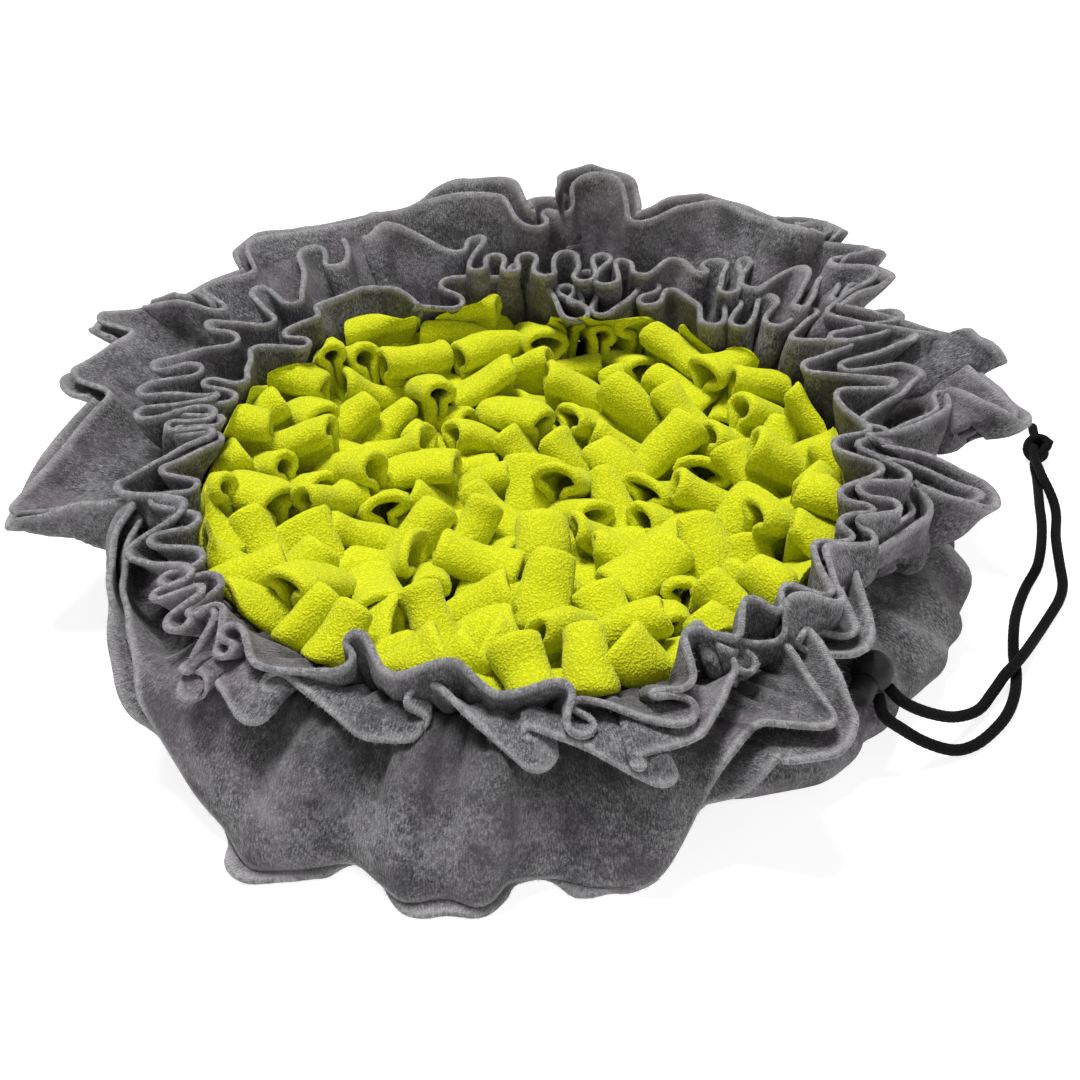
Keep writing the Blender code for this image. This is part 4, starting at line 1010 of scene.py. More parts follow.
@dataclass
class Ply:
    """One gathered ply of fleece that hangs from the seam."""

    name: str
    node: str
    place: float                # outer face at the seam, along the seam's slope
    turns: Sequence[Turn]
    bow_low: float              # degrees that the ply bows up where its hem hangs low
    bow_high: float
    window: float
    cut: float = 0.028          # depth of the cloth; where the hem is nearer, it bulges outwards
    spread: Sequence[Spread] = (Spread(0.0, 0.0, 0.0, 110.0), Spread(180.0, 0.0, 0.0, 110.0))
    swells: Sequence[Swell] = ()
    spacing: float = 0.0023
    rows: int = 26
    thickness: float = 0.0029
    hold: float = 2.3           # how far down from the hem the folds keep their shape
    gathers: int = 118          # small pleats in which the cloth enters the seam
    gather_depth: float = 0.0021
    seed: int = 1
    wave: float = 0.0014        # soft unevenness of the hanging cloth
    wave_size: float = 0.016
    low_rise: float = -0.018    # heights over the seam between which a hem counts as raised
    high_rise: float = 0.004
    high_hem: float = 0.040     # height over the seam at which bow_high is reached
    shade: float = 1.0          # how dark the painted shade makes the cloth at the seam
    seam_lift: float = 0.0006
    handle: float = 0.35        # of the curve from seam to hem, as a share of their distance
    slack_handle: float = 0.42  # how much of the slack cloth is added to it
    most_slack: float = 0.7     # share of the cut over which more slack bulges no further
    off_floor: float = 0.0003
    under_off_floor: float = 0.0002

    def middle(self) -> Array:
        """Return the grid of the ply's middle, rows of points from the seam to the hem."""
        hem = belt(self.turns, self.spacing)
        root = gathered_root(hem, self.window)
        grid = self.draped(hem, root)
        grid = grid + grid_normals(grid, True) * self.relief(grid, root)[..., None]
        grid[..., 2] = np.maximum(grid[..., 2], 0.5 * self.thickness + self.off_floor)
        return grid

    def draped(self, hem: Array, root: Array) -> Array:
        """Hang the cloth between the gathered seam and the hem, each column on its own curve.

        Args:
            hem: Rows of azimuth, radius and height, evenly spaced along the cloth.
            root: Azimuth at which each column of cloth enters the seam.

        Returns:
            Rows of points from the seam to the hem, still without pleats.
        """
        azimuth, radius, height = hem.T
        rise = height - SEAM_HEIGHT
        start = np.stack([
            np.full_like(radius, SEAM_RADIUS + self.place * math.cos(SEAM_SLOPE)),
            np.full_like(radius, SEAM_HEIGHT + self.place * math.sin(SEAM_SLOPE)
                         + self.seam_lift)])
        end = np.stack([radius, height])
        chord = end - start
        reach = np.linalg.norm(chord, axis=0)
        slope = np.arctan2(chord[1], chord[0])
        high = np.clip(rise / self.high_hem, 0.0, 1.0)
        raised = smooth_step(rise, self.low_rise, self.high_rise)
        slack = np.maximum(self.cut - reach, 0.0) * raised
        bow = np.radians(self.bow_low + (self.bow_high - self.bow_low) * high) * (1.0 - raised)
        bulge = np.radians(by_azimuth(self.spread, "bulge", azimuth))
        bow = bow - bulge * np.minimum(slack / self.cut, self.most_slack)
        arm = self.handle * reach + self.slack_handle * slack * np.minimum(bulge, 1.0)
        first = start + arm * np.stack([np.cos(slope + bow), np.sin(slope + bow)])
        last = end - arm * np.stack([np.cos(slope - bow), np.sin(slope - bow)])
        grid = []
        for t in np.linspace(0.0, 1.0, self.rows):
            profile = ((1 - t)**3 * start + 3 * (1 - t)**2 * t * first
                       + 3 * (1 - t) * t**2 * last + t**3 * end)
            turned = root + (azimuth - root) * (1.0 - (1.0 - t) ** self.hold)
            grid.append(to_xyz(turned, profile[0], profile[1]))
        return np.array(grid)

    def relief(self, grid: Array, root: Array) -> Array:
        """Return how far pleats, waves and swells push each point of the grid."""
        share = np.linspace(0.0, 1.0, self.rows)[:, None]
        pleats = np.sin(self.gathers * root + 1.2 * np.sin(7.0 * root) + 0.8 * np.sin(23.0 * root))
        depth = self.gather_depth * (1.0 - share) ** 1.4 * smooth_step(share, -0.05, 0.12)
        loose = self.wave * smooth_step(share, 0.1, 0.7)
        push = depth * pleats + loose * soft_noise(grid, self.wave_size, self.seed)
        around = np.degrees(np.arctan2(grid[..., 1], grid[..., 0]))
        hang = smooth_step(share, 0.10, 0.40) * (1.0 - 0.75 * smooth_step(share, 0.60, 1.0))
        for swell in self.swells:
            push = push - swell.push * hang * np.exp(
                -(degrees_off(around, swell.azimuth) / swell.width) ** 2)
        return push

    def marks(self, grid: Array) -> dict[str, Array]:
        """Return the marks that the finish reads at the grid's points."""
        along = np.concatenate([[0.0], np.cumsum(np.linalg.norm(np.diff(grid[-1], axis=0),
                                                               axis=1))])
        fall = np.linalg.norm(np.diff(grid, axis=0), axis=-1)
        down = np.concatenate([np.cumsum(fall[::-1], axis=0)[::-1], np.zeros((1, grid.shape[1]))])
        lay = np.stack([np.broadcast_to(along, down.shape), down, np.zeros_like(down)], axis=-1)
        hem = 1.0 - smooth_step(down, 0.0004, 0.0026)
        share = np.linspace(0.0, 1.0, len(grid))[:, None]
        # painted shade, darkest at the seam and gone three quarters of the way to the hem
        painted_shade_mark = self.shade * (1.0 - smooth_step(share, 0.05, 0.75)) * np.ones_like(down)
        return {"lay": lay, "hem": hem, "painted_shade_mark": painted_shade_mark}

    def build(self, material: bpy.types.Material, slot: Slot,
              grid: Array | None = None) -> Array:
        """Build the ply and the fuzz along its hem.

        Args:
            material: The fleece.
            slot: Slot of the record that the fleece comes from.
            grid: Middle of the ply, where it isn't the ply's own.

        Returns:
            The grid of the ply's middle.
        """
        grid = self.middle() if grid is None else grid
        cloth = thick_cloth(grid, self.thickness, True, False, self.marks(grid))
        piece = make_piece(self.name, cloth.points, cloth.faces, material, cloth.marks)
        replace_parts(piece, self.node)
        fuzz = EdgeFuzz(f"fuzz_{self.name}").build(grid, self.thickness, material, slot)
        return grid

    def beside(self, grid: Array) -> Array:
        """Return the middle of a second ply along the outer face of this one."""
        share = np.linspace(0.0, 1.0, len(grid))[:, None]
        normals = grid_normals(grid, True)
        azimuth = np.arctan2(grid[-1, :, 1], grid[-1, :, 0])

        def uneven(column: str, noise: float, size: float, seed: int) -> Array:
            """Return a column of the spread's table along the hem, made uneven by noise."""
            table = by_azimuth(FLOUNCE_SPREAD, column, azimuth)
            return table * (1.0 + noise * soft_noise(grid[-1], size, seed))

        open_hem = self.thickness + uneven("gap", 0.45, 0.030, 77)
        gap = PLY_STEP + (open_hem - PLY_STEP) * share**1.5
        longer = uneven("longer", 0.40, 0.035, 78)[None] * share**4
        under = (grid + normals * gap[..., None]
                 + unit(grid[-1] - grid[-2])[None] * longer[..., None])
        low = 0.5 * self.thickness + self.under_off_floor
        sunk = np.maximum(low - under[..., 2], 0.0)
        away = normals[-1] * (-1.0, -1.0, 0.0)
        for _ in range(6):
            away = evened(away)
        under = under + unit(away)[None] * sunk[..., None]
        under[..., 2] = np.maximum(under[..., 2], low)
        return under


@dataclass
class EdgeFuzz:
    """Short loose fibres along a cut edge, each a thin triangle."""

    name: str
    per_metre: int = 3600
    length: float = 0.0019
    width: float = 0.00016
    fan: float = 1.35           # radians to each side of the cloth, in which fibres stand
    stray: float = 0.45         # how much they lean along the edge
    paleness: float = 1.7       # the fibres' pale fuzz and painted highlight, next to 1 on the cloth's own edge
    start: float = 0.46         # how far from the cloth's middle they start, in thicknesses
    shortest: float = 0.35      # as a share of length
    off_floor: float = 0.0003
    seed: int = 5

    def build(self, grid: Array, thickness: float, material: bpy.types.Material,
              slot: Slot) -> bpy.types.Object:
        """Build the fibres along the last row of a ply's grid.

        Args:
            grid: Middle of the ply, rows of points from the seam to the hem.
            thickness: Thickness of the ply.
            material: The fleece.
            slot: Slot of the record that the fleece comes from; not used.

        Returns:
            The fibres as one piece.
        """
        rng = np.random.default_rng(self.seed)
        hem, before = grid[-1], grid[-2]
        count = round(self.per_metre * path_length(np.vstack([hem, hem[:1]])))
        place = rng.uniform(0.0, len(hem), count)
        j = place.astype(int) % len(hem)
        k = (j + 1) % len(hem)
        blend = (place % 1.0)[:, None]
        along = unit(hem[k] - hem[j])
        angle = rng.uniform(-self.fan, self.fan, count)[:, None]
        out = (unit(hem - before)[j] * np.cos(angle)
               + grid_normals(grid, True)[-1][j] * np.sin(angle))
        way = unit(out + along * rng.normal(0.0, self.stray, (count, 1)))
        base = hem[j] * (1 - blend) + hem[k] * blend + out * (self.start * thickness)
        side = unit(np.cross(way, rng.normal(size=(count, 3)))) * (0.5 * self.width)
        tip = base + way * self.length * rng.uniform(self.shortest, 1.0, (count, 1)) ** 1.5
        tip[:, 2] = np.maximum(tip[:, 2], self.off_floor)
        points = np.stack([base - side, base + side, tip], axis=1).reshape(-1, 3)
        faces = np.arange(3 * count).reshape(-1, 3)
        lay = np.repeat(np.stack([place, angle[:, 0], blend[:, 0]], axis=-1), 3, axis=0)
        bare = np.zeros(3 * count)
        marks = {"lay": lay, "hem": bare + self.paleness, "painted_shade_mark": bare, "core": bare}
        return make_piece(self.name, points, faces, material, marks)


# ---------------------------------------------------------------------------------------------
# Base cloth
# ---------------------------------------------------------------------------------------------

BASE_OUTLINE = (
    Outline(0.0, 0.2200), Outline(30.0, 0.2080), Outline(90.0, 0.1980), Outline(150.0, 0.1960),
    Outline(210.0, 0.1900), Outline(270.0, 0.1900), Outline(294.0, 0.1890),
    Outline(300.0, 0.1960), Outline(307.0, 0.2080), Outline(320.0, 0.2060),
    Outline(334.0, 0.2120), Outline(346.0, 0.2200),
)
BASE_CREASES = (
    Crease(302.0, 7.0, 0.0030, 6.0), Crease(313.0, 5.0, 0.0026, -4.0),
    Crease(322.0, 6.0, 0.0036, 9.0), Crease(333.0, 5.0, 0.0030, -8.0),
    Crease(341.0, 7.0, 0.0040, 10.0), Crease(353.0, 6.0, 0.0034, 6.0),
    Crease(6.0, 7.0, 0.0030, -6.0), Crease(20.0, 8.0, 0.0030, 8.0),
)


@dataclass
class BaseCloth:
    """The outer cloth: flat bottom, bulging wall, and the ledge of the gathered seam."""

    finish: GreyFleece
    columns: int = 420
    bottom_rows: int = 4
    wall_rows: int = 34
    thickness: float = 0.0025
    skin: float = 0.0013        # height of the cloth's middle where it lies on the floor
    inset: float = 0.0012       # from the outline to the cloth's middle
    foot: float = 0.90          # shares of the widest radius: where the cloth leaves the floor
    flank: float = 0.975        # and where it stands on the way to its widest place
    flank_height: float = 0.0060
    bulge_height: float = 0.020
    shoulder: float = 0.58
    shoulder_height: float = 0.037
    seam_width: float = 0.0108
    rim_drop: float = 0.0010    # of the cloth's middle under the ledge's outer rim
    ledge_drop: float = 0.0012  # and under the seam itself
    ledge_inset: float = 0.0005
    rounding: int = 4           # rounds in which the section's corners are softened
    gathers: int = 74
    gather_depth: float = 0.0016
    wave: float = 0.0012        # soft unevenness of the wall
    wave_size: float = 0.022
    lay_radius: float = 0.2     # turns an azimuth into a length for the pile's streaks
    lay_shift: float = 0.3      # keeps its streaks unlike those of the plies

    def section(self, widest: Array) -> tuple[Array, Array]:
        """Return the section of the cloth at each azimuth.

        Args:
            widest: Radius of the cloth's widest place at each azimuth.

        Returns:
            Each row's share of the way from the bottom's middle to the ledge, and the rows'
            radius and height at each azimuth.
        """
        rim_radius = SEAM_RADIUS + self.seam_width * math.cos(SEAM_SLOPE)
        rim_height = SEAM_HEIGHT + self.seam_width * math.sin(SEAM_SLOPE) - self.rim_drop
        knots = (       # share of the way, radius, height
            (0.0, 0.02 * widest, self.skin),
            (0.10, 0.45 * widest, self.skin),
            (0.20, self.foot * widest, self.skin),
            (0.32, self.flank * widest, self.flank_height),
            (0.48, widest, self.bulge_height),
            (0.70, rim_radius + self.shoulder * (widest - rim_radius), self.shoulder_height),
            (0.94, np.full_like(widest, rim_radius), rim_height),
            (1.0, np.full_like(widest, SEAM_RADIUS - self.ledge_inset),
             SEAM_HEIGHT - self.ledge_drop),
        )
        ground = 0.18
        shares = np.concatenate([np.linspace(0.0, ground, self.bottom_rows, endpoint=False),
                                 np.linspace(ground, 1.0, self.wall_rows)])
        places = [knot[0] for knot in knots]
        rows = []
        for share in shares:
            k = min(int(np.searchsorted(places, share, side="right")) - 1, len(places) - 2)
            (first, low_radius, low), (last, high_radius, high) = knots[k:k + 2]
            t = (share - first) / (last - first)
            rows.append((low_radius * (1 - t) + high_radius * t,
                         np.full_like(widest, low * (1 - t) + high * t)))
        section = np.array(rows).transpose(1, 0, 2)
        start = self.bottom_rows + 2
        for _ in range(self.rounding):
            section[:, start:-1] = (0.25 * section[:, start - 1:-2] + 0.5 * section[:, start:-1]
                                    + 0.25 * section[:, start + 1:])
        return shares, section

    def middle(self) -> Array:
        """Return the grid of the cloth, from near the bottom's middle up to the ledge."""
        azimuth = np.linspace(0.0, TURN, self.columns, endpoint=False)
        shares, (radius, height) = self.section(
            by_azimuth(BASE_OUTLINE, "radius", azimuth) - self.inset)
        grid = to_xyz(azimuth[None] * np.ones_like(radius), radius, height)
        share = shares[:, None]
        wall = smooth_step(share, 0.24, 0.42)
        pleats = np.sin(self.gathers * azimuth + 1.6 * np.sin(5 * azimuth) + 2.5 * share)
        push = self.gather_depth * smooth_step(share, 0.45, 0.92) * pleats
        for crease in BASE_CREASES:
            line = crease.azimuth + crease.slant * (share - 0.6)
            off = degrees_off(np.degrees(azimuth)[None], line) / crease.width
            ridge = np.exp(-(off / 0.42) ** 2)
            trough = np.exp(-((off - 0.85) / 0.40) ** 2)
            push = push + crease.depth * wall * (0.6 * ridge - trough)
        push = push + self.wave * wall * soft_noise(grid, self.wave_size, 41)
        grid = grid + grid_normals(grid, True) * push[..., None]
        grid[..., 2] = np.maximum(grid[..., 2], self.skin)
        return grid

    def build(self, material: bpy.types.Material) -> None:
        grid = self.middle()
        fall = np.linalg.norm(np.diff(grid, axis=0), axis=-1)
        down = np.concatenate([np.zeros((1, self.columns)), np.cumsum(fall, axis=0)])
        around = np.linspace(0.0, TURN, self.columns, endpoint=False) * self.lay_radius
        lay = np.stack([np.broadcast_to(around, down.shape), down,
                        np.full_like(down, self.lay_shift)], axis=-1)
        # painted shade over the whole cloth, heavier where the wall rises to the seam under the plies
        shade = 0.20 + 0.45 * smooth_step(grid[..., 2], 0.030, 0.050)
        marks = {"lay": lay, "hem": np.zeros_like(down), "painted_shade_mark": shade}
        cloth = thick_cloth(grid, self.thickness, True, False, marks)
        piece = make_piece("base_cloth", cloth.points, cloth.faces, material,
                           cloth.marks)
        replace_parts(piece, "base_shell")


# ---------------------------------------------------------------------------------------------
# Field of loops
# ---------------------------------------------------------------------------------------------

@dataclass
class LoopField:
    """Strips of lime fleece, each bent to a short tube and pulled through the backing."""

    finish: LimeFleece
    count: int = 148
    width: float = 0.0350
    bend: float = 0.0097        # outer radius of the bend at the top
    leg: float = 0.0490
    thickness: float = 0.0050
    root_share: float = 0.40
    root_radius: float = 0.1505
    field_radius: float = 0.1740
    backing_radius: float = 0.1540
    backing_top: float = 0.0054
    across_steps: int = 11
    along_steps: int = 22
    rounds: int = 420
    sectors: int = 120          # in which the frill's inside is measured
    clearance: float = 0.0026
    press: float = 0.0060       # depth of loop that takes up the pressure of the frill
    apart: float = 1.92         # bends between the middles of two tubes that touch
    give: float = 0.28          # share of an overlap that one round takes away
    lean: float = 0.36          # outward lean of the loops at the field's rim
    head: float = 0.52          # share of half a strip that bends round the tube
    neck: float = 150.0         # degrees from the tube's top to where it closes
    low: float = 0.0010         # height of a strip's ends over its root
    wave: float = 0.0007        # soft unevenness of a strip
    wave_size: float = 0.011
    backing_sides: int = 96
    scatter: float = 0.002      # how far a root stands from its regular place
    legs: tuple[float, float] = (0.74, 1.06)        # shortest and longest, as shares of leg
    rim_leg: float = 0.019      # how much longer the legs at the field's rim are
    back_leg: float = 0.013     # and how much more than that at its back
    facing: tuple[float, float] = (-0.25, 0.80)     # radians, mean and spread of the headings
    girth: tuple[float, float] = (0.90, 1.10)       # thinnest and thickest tube
    squash: tuple[float, float] = (0.26, 0.15)      # mean and spread of a tube's flatness
    uneven: tuple[float, ...] = (0.16, 0.07, 0.0016, 0.16)     # taper, bulge, arch and twist
    seed: int = 11

    def inside(self, points: Array, frill: Array) -> Array:
        """Press points inwards where they would reach through the inner frill.

        Args:
            points: Points of the loops.
            frill: Grid of the frill's middle, rows from the seam to the hem.

        Returns:
            The points, at least the clearance inside the frill.
        """
        sectors = np.linspace(0.0, TURN, self.sectors, endpoint=False)
        around = np.arctan2(frill[..., 1], frill[..., 0]) % TURN
        reach = np.hypot(frill[..., 0], frill[..., 1])
        slot = np.floor(around / TURN * self.sectors).astype(int) % self.sectors
        near = np.full((len(frill), self.sectors), np.inf)
        height = np.zeros((len(frill), self.sectors))
        for row in range(len(frill)):
            np.minimum.at(near[row], slot[row], reach[row])
            counts = np.bincount(slot[row], minlength=self.sectors)
            totals = np.bincount(slot[row], frill[row, :, 2], minlength=self.sectors)
            filled = np.flatnonzero(counts)
            mean = totals[filled] / counts[filled]
            height[row] = round_table(sectors[filled], mean, sectors, TURN)
            near[row] = round_table(sectors[filled], near[row, filled], sectors, TURN)
        near = np.minimum(near, np.minimum(np.roll(near, 1, axis=1), np.roll(near, -1, axis=1)))
        flat = np.hypot(points[:, 0], points[:, 1])
        slots = (np.arctan2(points[:, 1], points[:, 0]) % TURN) / TURN * self.sectors - 0.5
        wall = np.zeros(len(points))
        for k in range(self.sectors):
            share = 1.0 - np.abs((slots - k + 0.5 * self.sectors) % self.sectors
                                 - 0.5 * self.sectors)
            held = share > 0.0
            wall[held] += share[held] * np.interp(points[held, 2], height[:, k], near[:, k])
        limit = wall - self.clearance
        over = np.maximum(flat - limit + self.press, 0.0)
        pressed = limit - self.press * np.exp(-over / self.press)
        scale = np.where(over > 0.0, pressed / np.maximum(flat, 1e-6), 1.0)
        out = points.copy()
        out[:, :2] *= scale[:, None]
        return out

    def settle(self, rng: np.random.Generator) -> tuple[Array, Array]:
        """Let the loops' bends push each other apart until they lie side by side.

        Args:
            rng: Source of the loops' first places.

        Returns:
            The roots, and the two ends of each bend's bar.
        """
        k = np.arange(self.count) + 0.5
        radius = self.root_radius * np.sqrt(k / self.count)
        azimuth = k * math.pi * (3 - math.sqrt(5))
        flat = np.stack([radius * np.cos(azimuth), radius * np.sin(azimuth)], axis=-1)
        flat += rng.uniform(-self.scatter, self.scatter, flat.shape)
        root = np.column_stack([flat, np.full(self.count, self.backing_top - 0.001)])
        rim = (np.linalg.norm(flat, axis=1) / self.root_radius) ** 2
        back = 0.5 + 0.5 * np.sin(azimuth)
        leg = (self.leg * rng.uniform(*self.legs, self.count)
               + (self.rim_leg + self.back_leg * back) * rim)
        heading = rng.normal(*self.facing, self.count)
        half = 0.5 * self.width - 0.45 * self.bend
        bar = half * np.stack([np.cos(heading), np.sin(heading),
                               rng.uniform(-0.5, 0.5, self.count)], axis=-1)
        outward = np.column_stack([flat * self.lean / self.root_radius, np.ones(self.count)])
        middle = root + outward * leg[:, None]
        ends = np.stack([middle - bar, middle + bar])
        first, second = np.triu_indices(self.count, 1)
        for _ in range(self.rounds):
            a, b, c, d = ends[0][first], ends[1][first], ends[0][second], ends[1][second]
            s, t = nearest_between(a, b, c, d)
            apart = (a + (b - a) * s[:, None]) - (c + (d - c) * t[:, None])
            distance = np.maximum(np.linalg.norm(apart, axis=1), 1e-6)
            overlap = np.maximum(self.apart * self.bend - distance, 0.0) / distance
            push = self.give * apart * overlap[:, None]
            for side, share in ((0, 1 - s), (1, s)):
                np.add.at(ends[side], first, push * share[:, None])
            for side, share in ((0, 1 - t), (1, t)):
                np.add.at(ends[side], second, -push * share[:, None])
            self.hold(ends, root, leg, half)
        return root, ends

    def hold(self, ends: Array, root: Array, leg: Array, half: float) -> None:
        """Keep each bar its own length, at its leg's length from its root, inside the field."""
        middle = 0.5 * (ends[0] + ends[1])
        bar = 0.5 * (ends[1] - ends[0])
        bar[:, 2] = np.clip(bar[:, 2], -0.5 * half, 0.5 * half)
        bar = unit(bar) * half
        middle = root + unit(middle - root) * leg[:, None]
        middle[:, 2] = np.maximum(middle[:, 2], self.backing_top + 1.6 * self.bend)
        out = np.linalg.norm(middle[:, :2], axis=1)
        far = out + np.abs((middle[:, :2] * bar[:, :2]).sum(1)) / out
        pull = np.minimum(1.0, (self.field_radius - self.bend) / far)
        middle[:, :2] *= pull[:, None]
        ends[0], ends[1] = middle - bar, middle + bar

    def loop(self, root: Array, middle: Array, bar: Array, rng: np.random.Generator,
             number: int) -> Cloth:
        """Build one strip: pinched at its root, up, over as a soft tube and back down.

        Args:
            root: Where the strip's two ends are pulled through the backing.
            middle: Middle of the bend at the top.
            bar: Line along the bend, from one cut edge towards the other.
            rng: Source of the strip's own roundness and unevenness.
            number: Number of the strip.

        Returns:
            The strip, whose section is a round head with two legs that close under it.
        """
        axis = unit(bar)
        leg = middle - root
        tall = float(np.linalg.norm(leg))
        leg = leg / tall
        across = unit(np.cross(axis, leg))
        up = np.cross(across, axis)
        level = unit(np.array([axis[0], axis[1], 0.0]))
        radius = (self.bend - 0.5 * self.thickness) * rng.uniform(*self.girth)
        squash = math.exp(rng.normal(*self.squash))
        taper, bulge, arch, twist = rng.normal(0.0, self.uneven)
        a = np.linspace(-1.0, 1.0, self.across_steps)[:, None]
        s = np.linspace(-1.0, 1.0, self.along_steps)[None, :]
        turn = np.clip(s / self.head, -1.0, 1.0) * math.radians(self.neck) + twist * a
        size = radius * (1.0 + taper * a + bulge * (1.0 - 2.0 * a * a))
        closing = smooth_step(np.abs(s), 0.50, 0.70)
        legs = smooth_step(np.abs(s), 0.62, 1.0)
        shoulder = tall - radius
        x = (size * squash * np.sin(turn) * (1.0 - closing)
             + np.sign(s) * self.thickness * 0.55 * closing)
        y = shoulder + size / squash * np.cos(turn) - 0.75 * radius * closing
        y = (y + arch * (1.0 - a * a)) * (1.0 - legs) + self.low * legs
        width = 0.5 * self.width * (1.0 - (1.0 - self.root_share) * legs**0.8)
        along = axis * (1.0 - legs[..., None]) + level * legs[..., None]
        grid = (root + across * x[..., None] + leg * np.minimum(y, shoulder)[..., None]
                + up * np.maximum(y - shoulder, 0.0)[..., None] + along * (a * width)[..., None])
        push = self.wave * soft_noise(grid, self.wave_size, 300 + number)
        grid = grid + grid_normals(grid, False) * push[..., None]
        down = (1.0 - np.abs(a)) * width
        # painted shade down each strip's legs, towards its root among the loops
        painted_shade_mark = smooth_step(np.abs(s), 0.45, 0.95) * np.ones_like(down)
        lay = np.stack([np.broadcast_to(s * 0.05, down.shape), a * width,
                        np.full_like(down, number)], axis=-1)
        marks = {"lay": lay, "hem": 1.0 - smooth_step(down, 0.0, 0.0016), "painted_shade_mark": painted_shade_mark}
        return thick_cloth(grid, self.thickness, False, True, marks)

    def build(self, frill: Array) -> None:
        """Build the loops as one piece, inside the frill's grid, and the backing as another."""
        material = self.finish.material()
        rng = np.random.default_rng(self.seed)
        roots, ends = self.settle(rng)
        cloth = join_cloths([self.loop(root, 0.5 * (one + other), other - one, rng, k)
                             for k, (root, one, other) in enumerate(zip(roots, *ends))])
        piece = make_piece("fleece_loops", self.inside(cloth.points, frill), cloth.faces, material,
                           cloth.marks)
        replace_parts(piece, "loop_field")
        profile = [(0.0, 0.0030), (self.backing_radius - 0.0006, 0.0030),
                   (self.backing_radius, 0.0036), (self.backing_radius, 0.0048),
                   (self.backing_radius - 0.0006, self.backing_top), (0.0, self.backing_top)]
        points, faces = turned_form(profile, self.backing_sides)
        # painted shade over the whole backing, which lies under the loops
        marks = {"painted_shade_mark": np.ones(len(points)), "hem": np.zeros(len(points))}
        make_piece("loop_backing", np.array(points), faces, material, marks)


def nearest_between(a: Array, b: Array, c: Array, d: Array) -> tuple[Array, Array]:
    """Return the shares s and t of segments a-b and c-d where the two come nearest."""
    u, v, w = b - a, d - c, a - c
    uu, uv, vv = (u * u).sum(-1), (u * v).sum(-1), (v * v).sum(-1)
    uw, vw = (u * w).sum(-1), (v * w).sum(-1)
    flat = np.maximum(uu * vv - uv * uv, 1e-12)
    s = np.clip((uv * vw - vv * uw) / flat, 0.0, 1.0)
    t = np.clip((uv * s + vw) / vv, 0.0, 1.0)
    s = np.clip((uv * t - uw) / uu, 0.0, 1.0)
    return s, t


# ---------------------------------------------------------------------------------------------
# Camera, light and floor
# ---------------------------------------------------------------------------------------------

class Lamp(NamedTuple):
    """One soft light: the way towards it, its width in degrees and its strength."""

    name: str
    way: Point
    spread: float
    strength: float


WHITE = (1.0, 1.0, 1.0, 1.0)
LAMPS = (
    Lamp("key", (-0.16, 0.30, 1.0), 22.0, 3.9),
    Lamp("fill", (0.55, -0.80, 0.9), 50.0, 0.42),
)


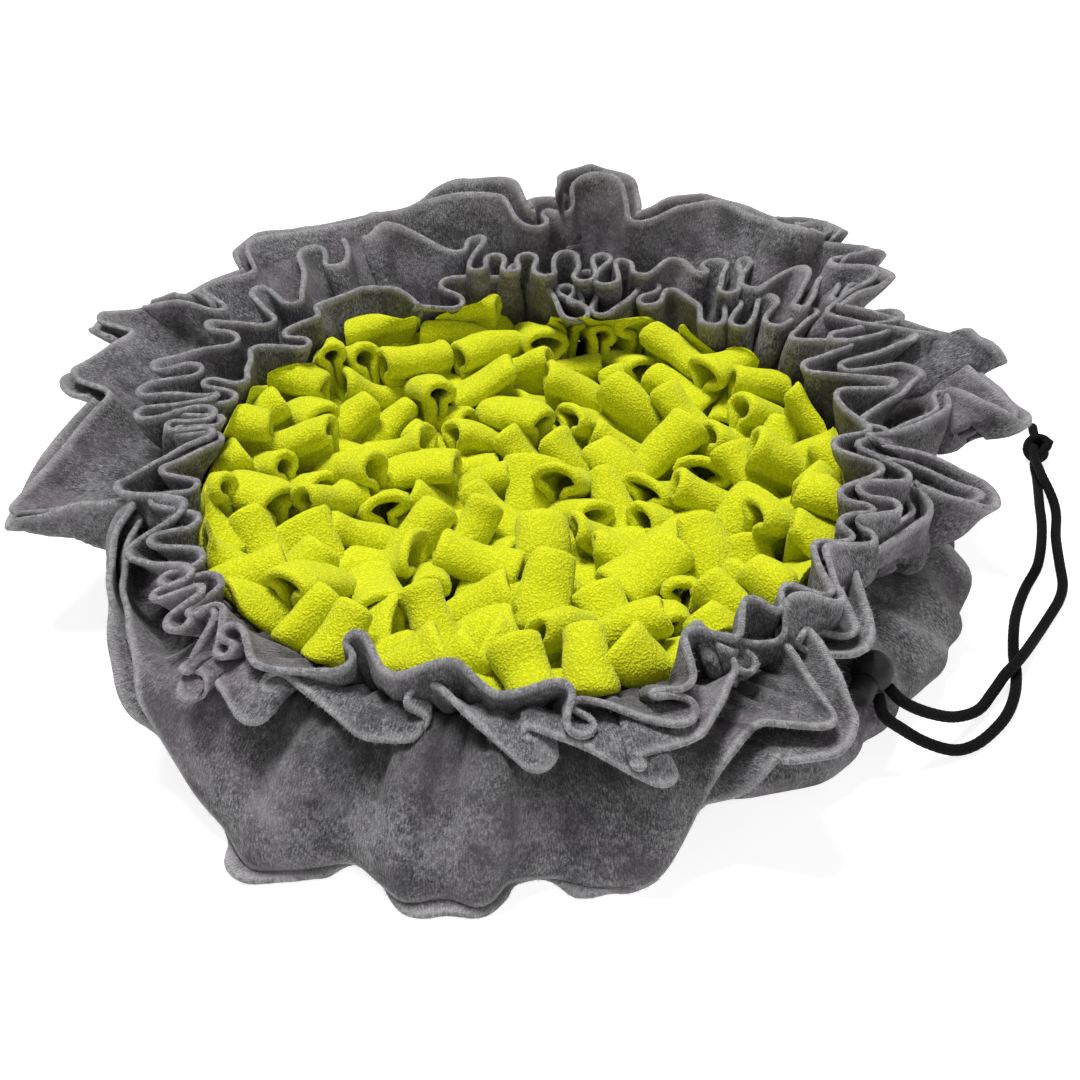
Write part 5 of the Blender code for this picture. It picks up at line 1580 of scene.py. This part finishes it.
@dataclass
class Studio:
    """Camera at the photograph's angle, a pale floor and soft light."""

    target: Point = (0.008, -0.012, 0.030)
    distance: float = 0.74
    elevation: float = 35.0
    lens: float = 50.0
    sensor: float = 36.0
    frame: float = 1080.0       # pixels of the photograph's side
    floor_size: float = 400.0
    floor_grey: float = 0.50
    floor_glow: float = 0.82    # keeps the shadows on the white floor faint
    sky: float = 0.24
    horizon: float = 0.95       # the sky is as bright as the floor down there
    haze: float = 0.16          # height, on a sky of radius 1, up to which that glow reaches

    @property
    def back(self) -> Point:
        """Return the way from the target to the camera, at length 1."""
        tilt = math.radians(self.elevation)
        return 0.0, -math.cos(tilt), math.sin(tilt)

    def seen_at(self, across: float, down: float, height: float) -> tuple[float, float]:
        """Return the point (x, y) at a height that the camera sees at a pixel of its frame."""
        back = np.array(self.back)
        up = np.array([0.0, back[2], -back[1]])
        pixels = self.frame * self.lens / self.sensor
        right = (across - 0.5 * self.frame) / pixels
        below = (down - 0.5 * self.frame) / pixels
        ray = np.array([right, 0.0, 0.0]) - below * up - back
        eye = np.array(self.target) + self.distance * back
        point = eye + (height - eye[2]) / ray[2] * ray
        return float(point[0]), float(point[1])

    def build_camera(self) -> None:
        """Place the camera in front of the mat, looking down at it."""
        data = bpy.data.cameras.new("camera")
        data.lens = self.lens
        data.sensor_width = self.sensor
        camera = bpy.data.objects.new("camera", data)
        bpy.context.scene.collection.objects.link(camera)
        back = Vector(self.back)
        camera.location = Vector(self.target) + self.distance * back
        camera.rotation_euler = (-back).to_track_quat('-Z', 'Y').to_euler()
        bpy.context.scene.camera = camera

    def build_floor(self) -> None:
        """Lay the pale floor."""
        half = 0.5 * self.floor_size
        mesh = bpy.data.meshes.new("floor")
        mesh.from_pydata([(-half, -half, 0), (half, -half, 0), (half, half, 0), (-half, half, 0)],
                         [], [(0, 1, 2, 3)])
        shader = Shader(bpy.data.materials.new("pale_floor"))
        mesh.materials.append(shader.finish(
            {"Base Color": (*[self.floor_grey] * 3, 1.0), "Roughness": 0.9,
             "Specular IOR Level": 0.0, "Emission Color": WHITE,
             "Emission Strength": self.floor_glow}, {}))
        floor = bpy.data.objects.new("floor", mesh)
        bpy.context.scene.collection.objects.link(floor)

    def build_light(self) -> None:
        """Hang the soft lights and the white sky."""
        world = bpy.data.worlds.new("studio")
        air = Shader(world)
        height = air.node("ShaderNodeSeparateXYZ", None,
                          {0: air.node("ShaderNodeTexCoord", out="Generated")}, out="Z")
        strength = self.sky + (self.horizon - self.sky) * height.ramp(self.haze, 0.3 * self.haze)
        sky = air.tree.nodes["Background"]
        sky.inputs["Color"].default_value = WHITE
        air.tree.links.new(strength.socket, sky.inputs["Strength"])
        bpy.context.scene.world = world
        for lamp in LAMPS:
            data = bpy.data.lights.new(lamp.name, 'SUN')
            data.angle = math.radians(lamp.spread)
            data.energy = lamp.strength
            light = bpy.data.objects.new(lamp.name, data)
            light.location = lamp.way
            light.rotation_euler = (-Vector(lamp.way)).to_track_quat('-Z', 'Y').to_euler()
            bpy.context.scene.collection.objects.link(light)


# ---------------------------------------------------------------------------------------------
# The whole mat
# ---------------------------------------------------------------------------------------------


def main() -> None:
    """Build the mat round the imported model, and report each piece."""
    logging.basicConfig(level=logging.INFO, format="%(message)s")
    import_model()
    bpy.context.scene.view_settings.view_transform = 'Standard'
    studio = Studio()
    studio.build_camera()
    Drawstring().build()

    grey = GreyFleece()
    fleece = grey.material()
    BaseCloth(grey).build(fleece)
    flounce = widened(turns_of(FLOUNCE_FOLDS, studio), 1.5)
    upper = Ply("upper_flounce", "flounce_upper", place=3 * PLY_STEP, turns=flounce,
                bow_low=58.0, bow_high=2.0, window=0.24, cut=0.082, spread=FLOUNCE_SPREAD,
                swells=FLOUNCE_SWELLS, seed=3)
    grid = upper.build(fleece, grey.slot)
    under = replace(upper, name="under_flounce", node="flounce_under", place=4 * PLY_STEP)
    under.build(fleece, grey.slot, upper.beside(grid))
    middle = Ply("middle_frill", "frill_middle", place=2 * PLY_STEP,
                 turns=widened(turns_of(MIDDLE_FOLDS, studio), 1.9), bow_low=46.0, bow_high=4.0,
                 window=0.12, cut=0.048, spacing=0.0019, rows=17, seed=8, shade=0.55,
                 low_rise=0.006, high_rise=0.024)
    middle.build(fleece, grey.slot)
    inner = Ply("inner_frill", "frill_inner", place=PLY_STEP,
                turns=widened(turns_of(INNER_FOLDS, studio), 1.9), bow_low=0.0, bow_high=0.0,
                window=0.12, spacing=0.0019, rows=13, seed=9, shade=0.8)
    LoopField(LimeFleece()).build(inner.build(fleece, grey.slot))

    studio.build_floor()
    studio.build_light()


if __name__ == "__main__":
    main()
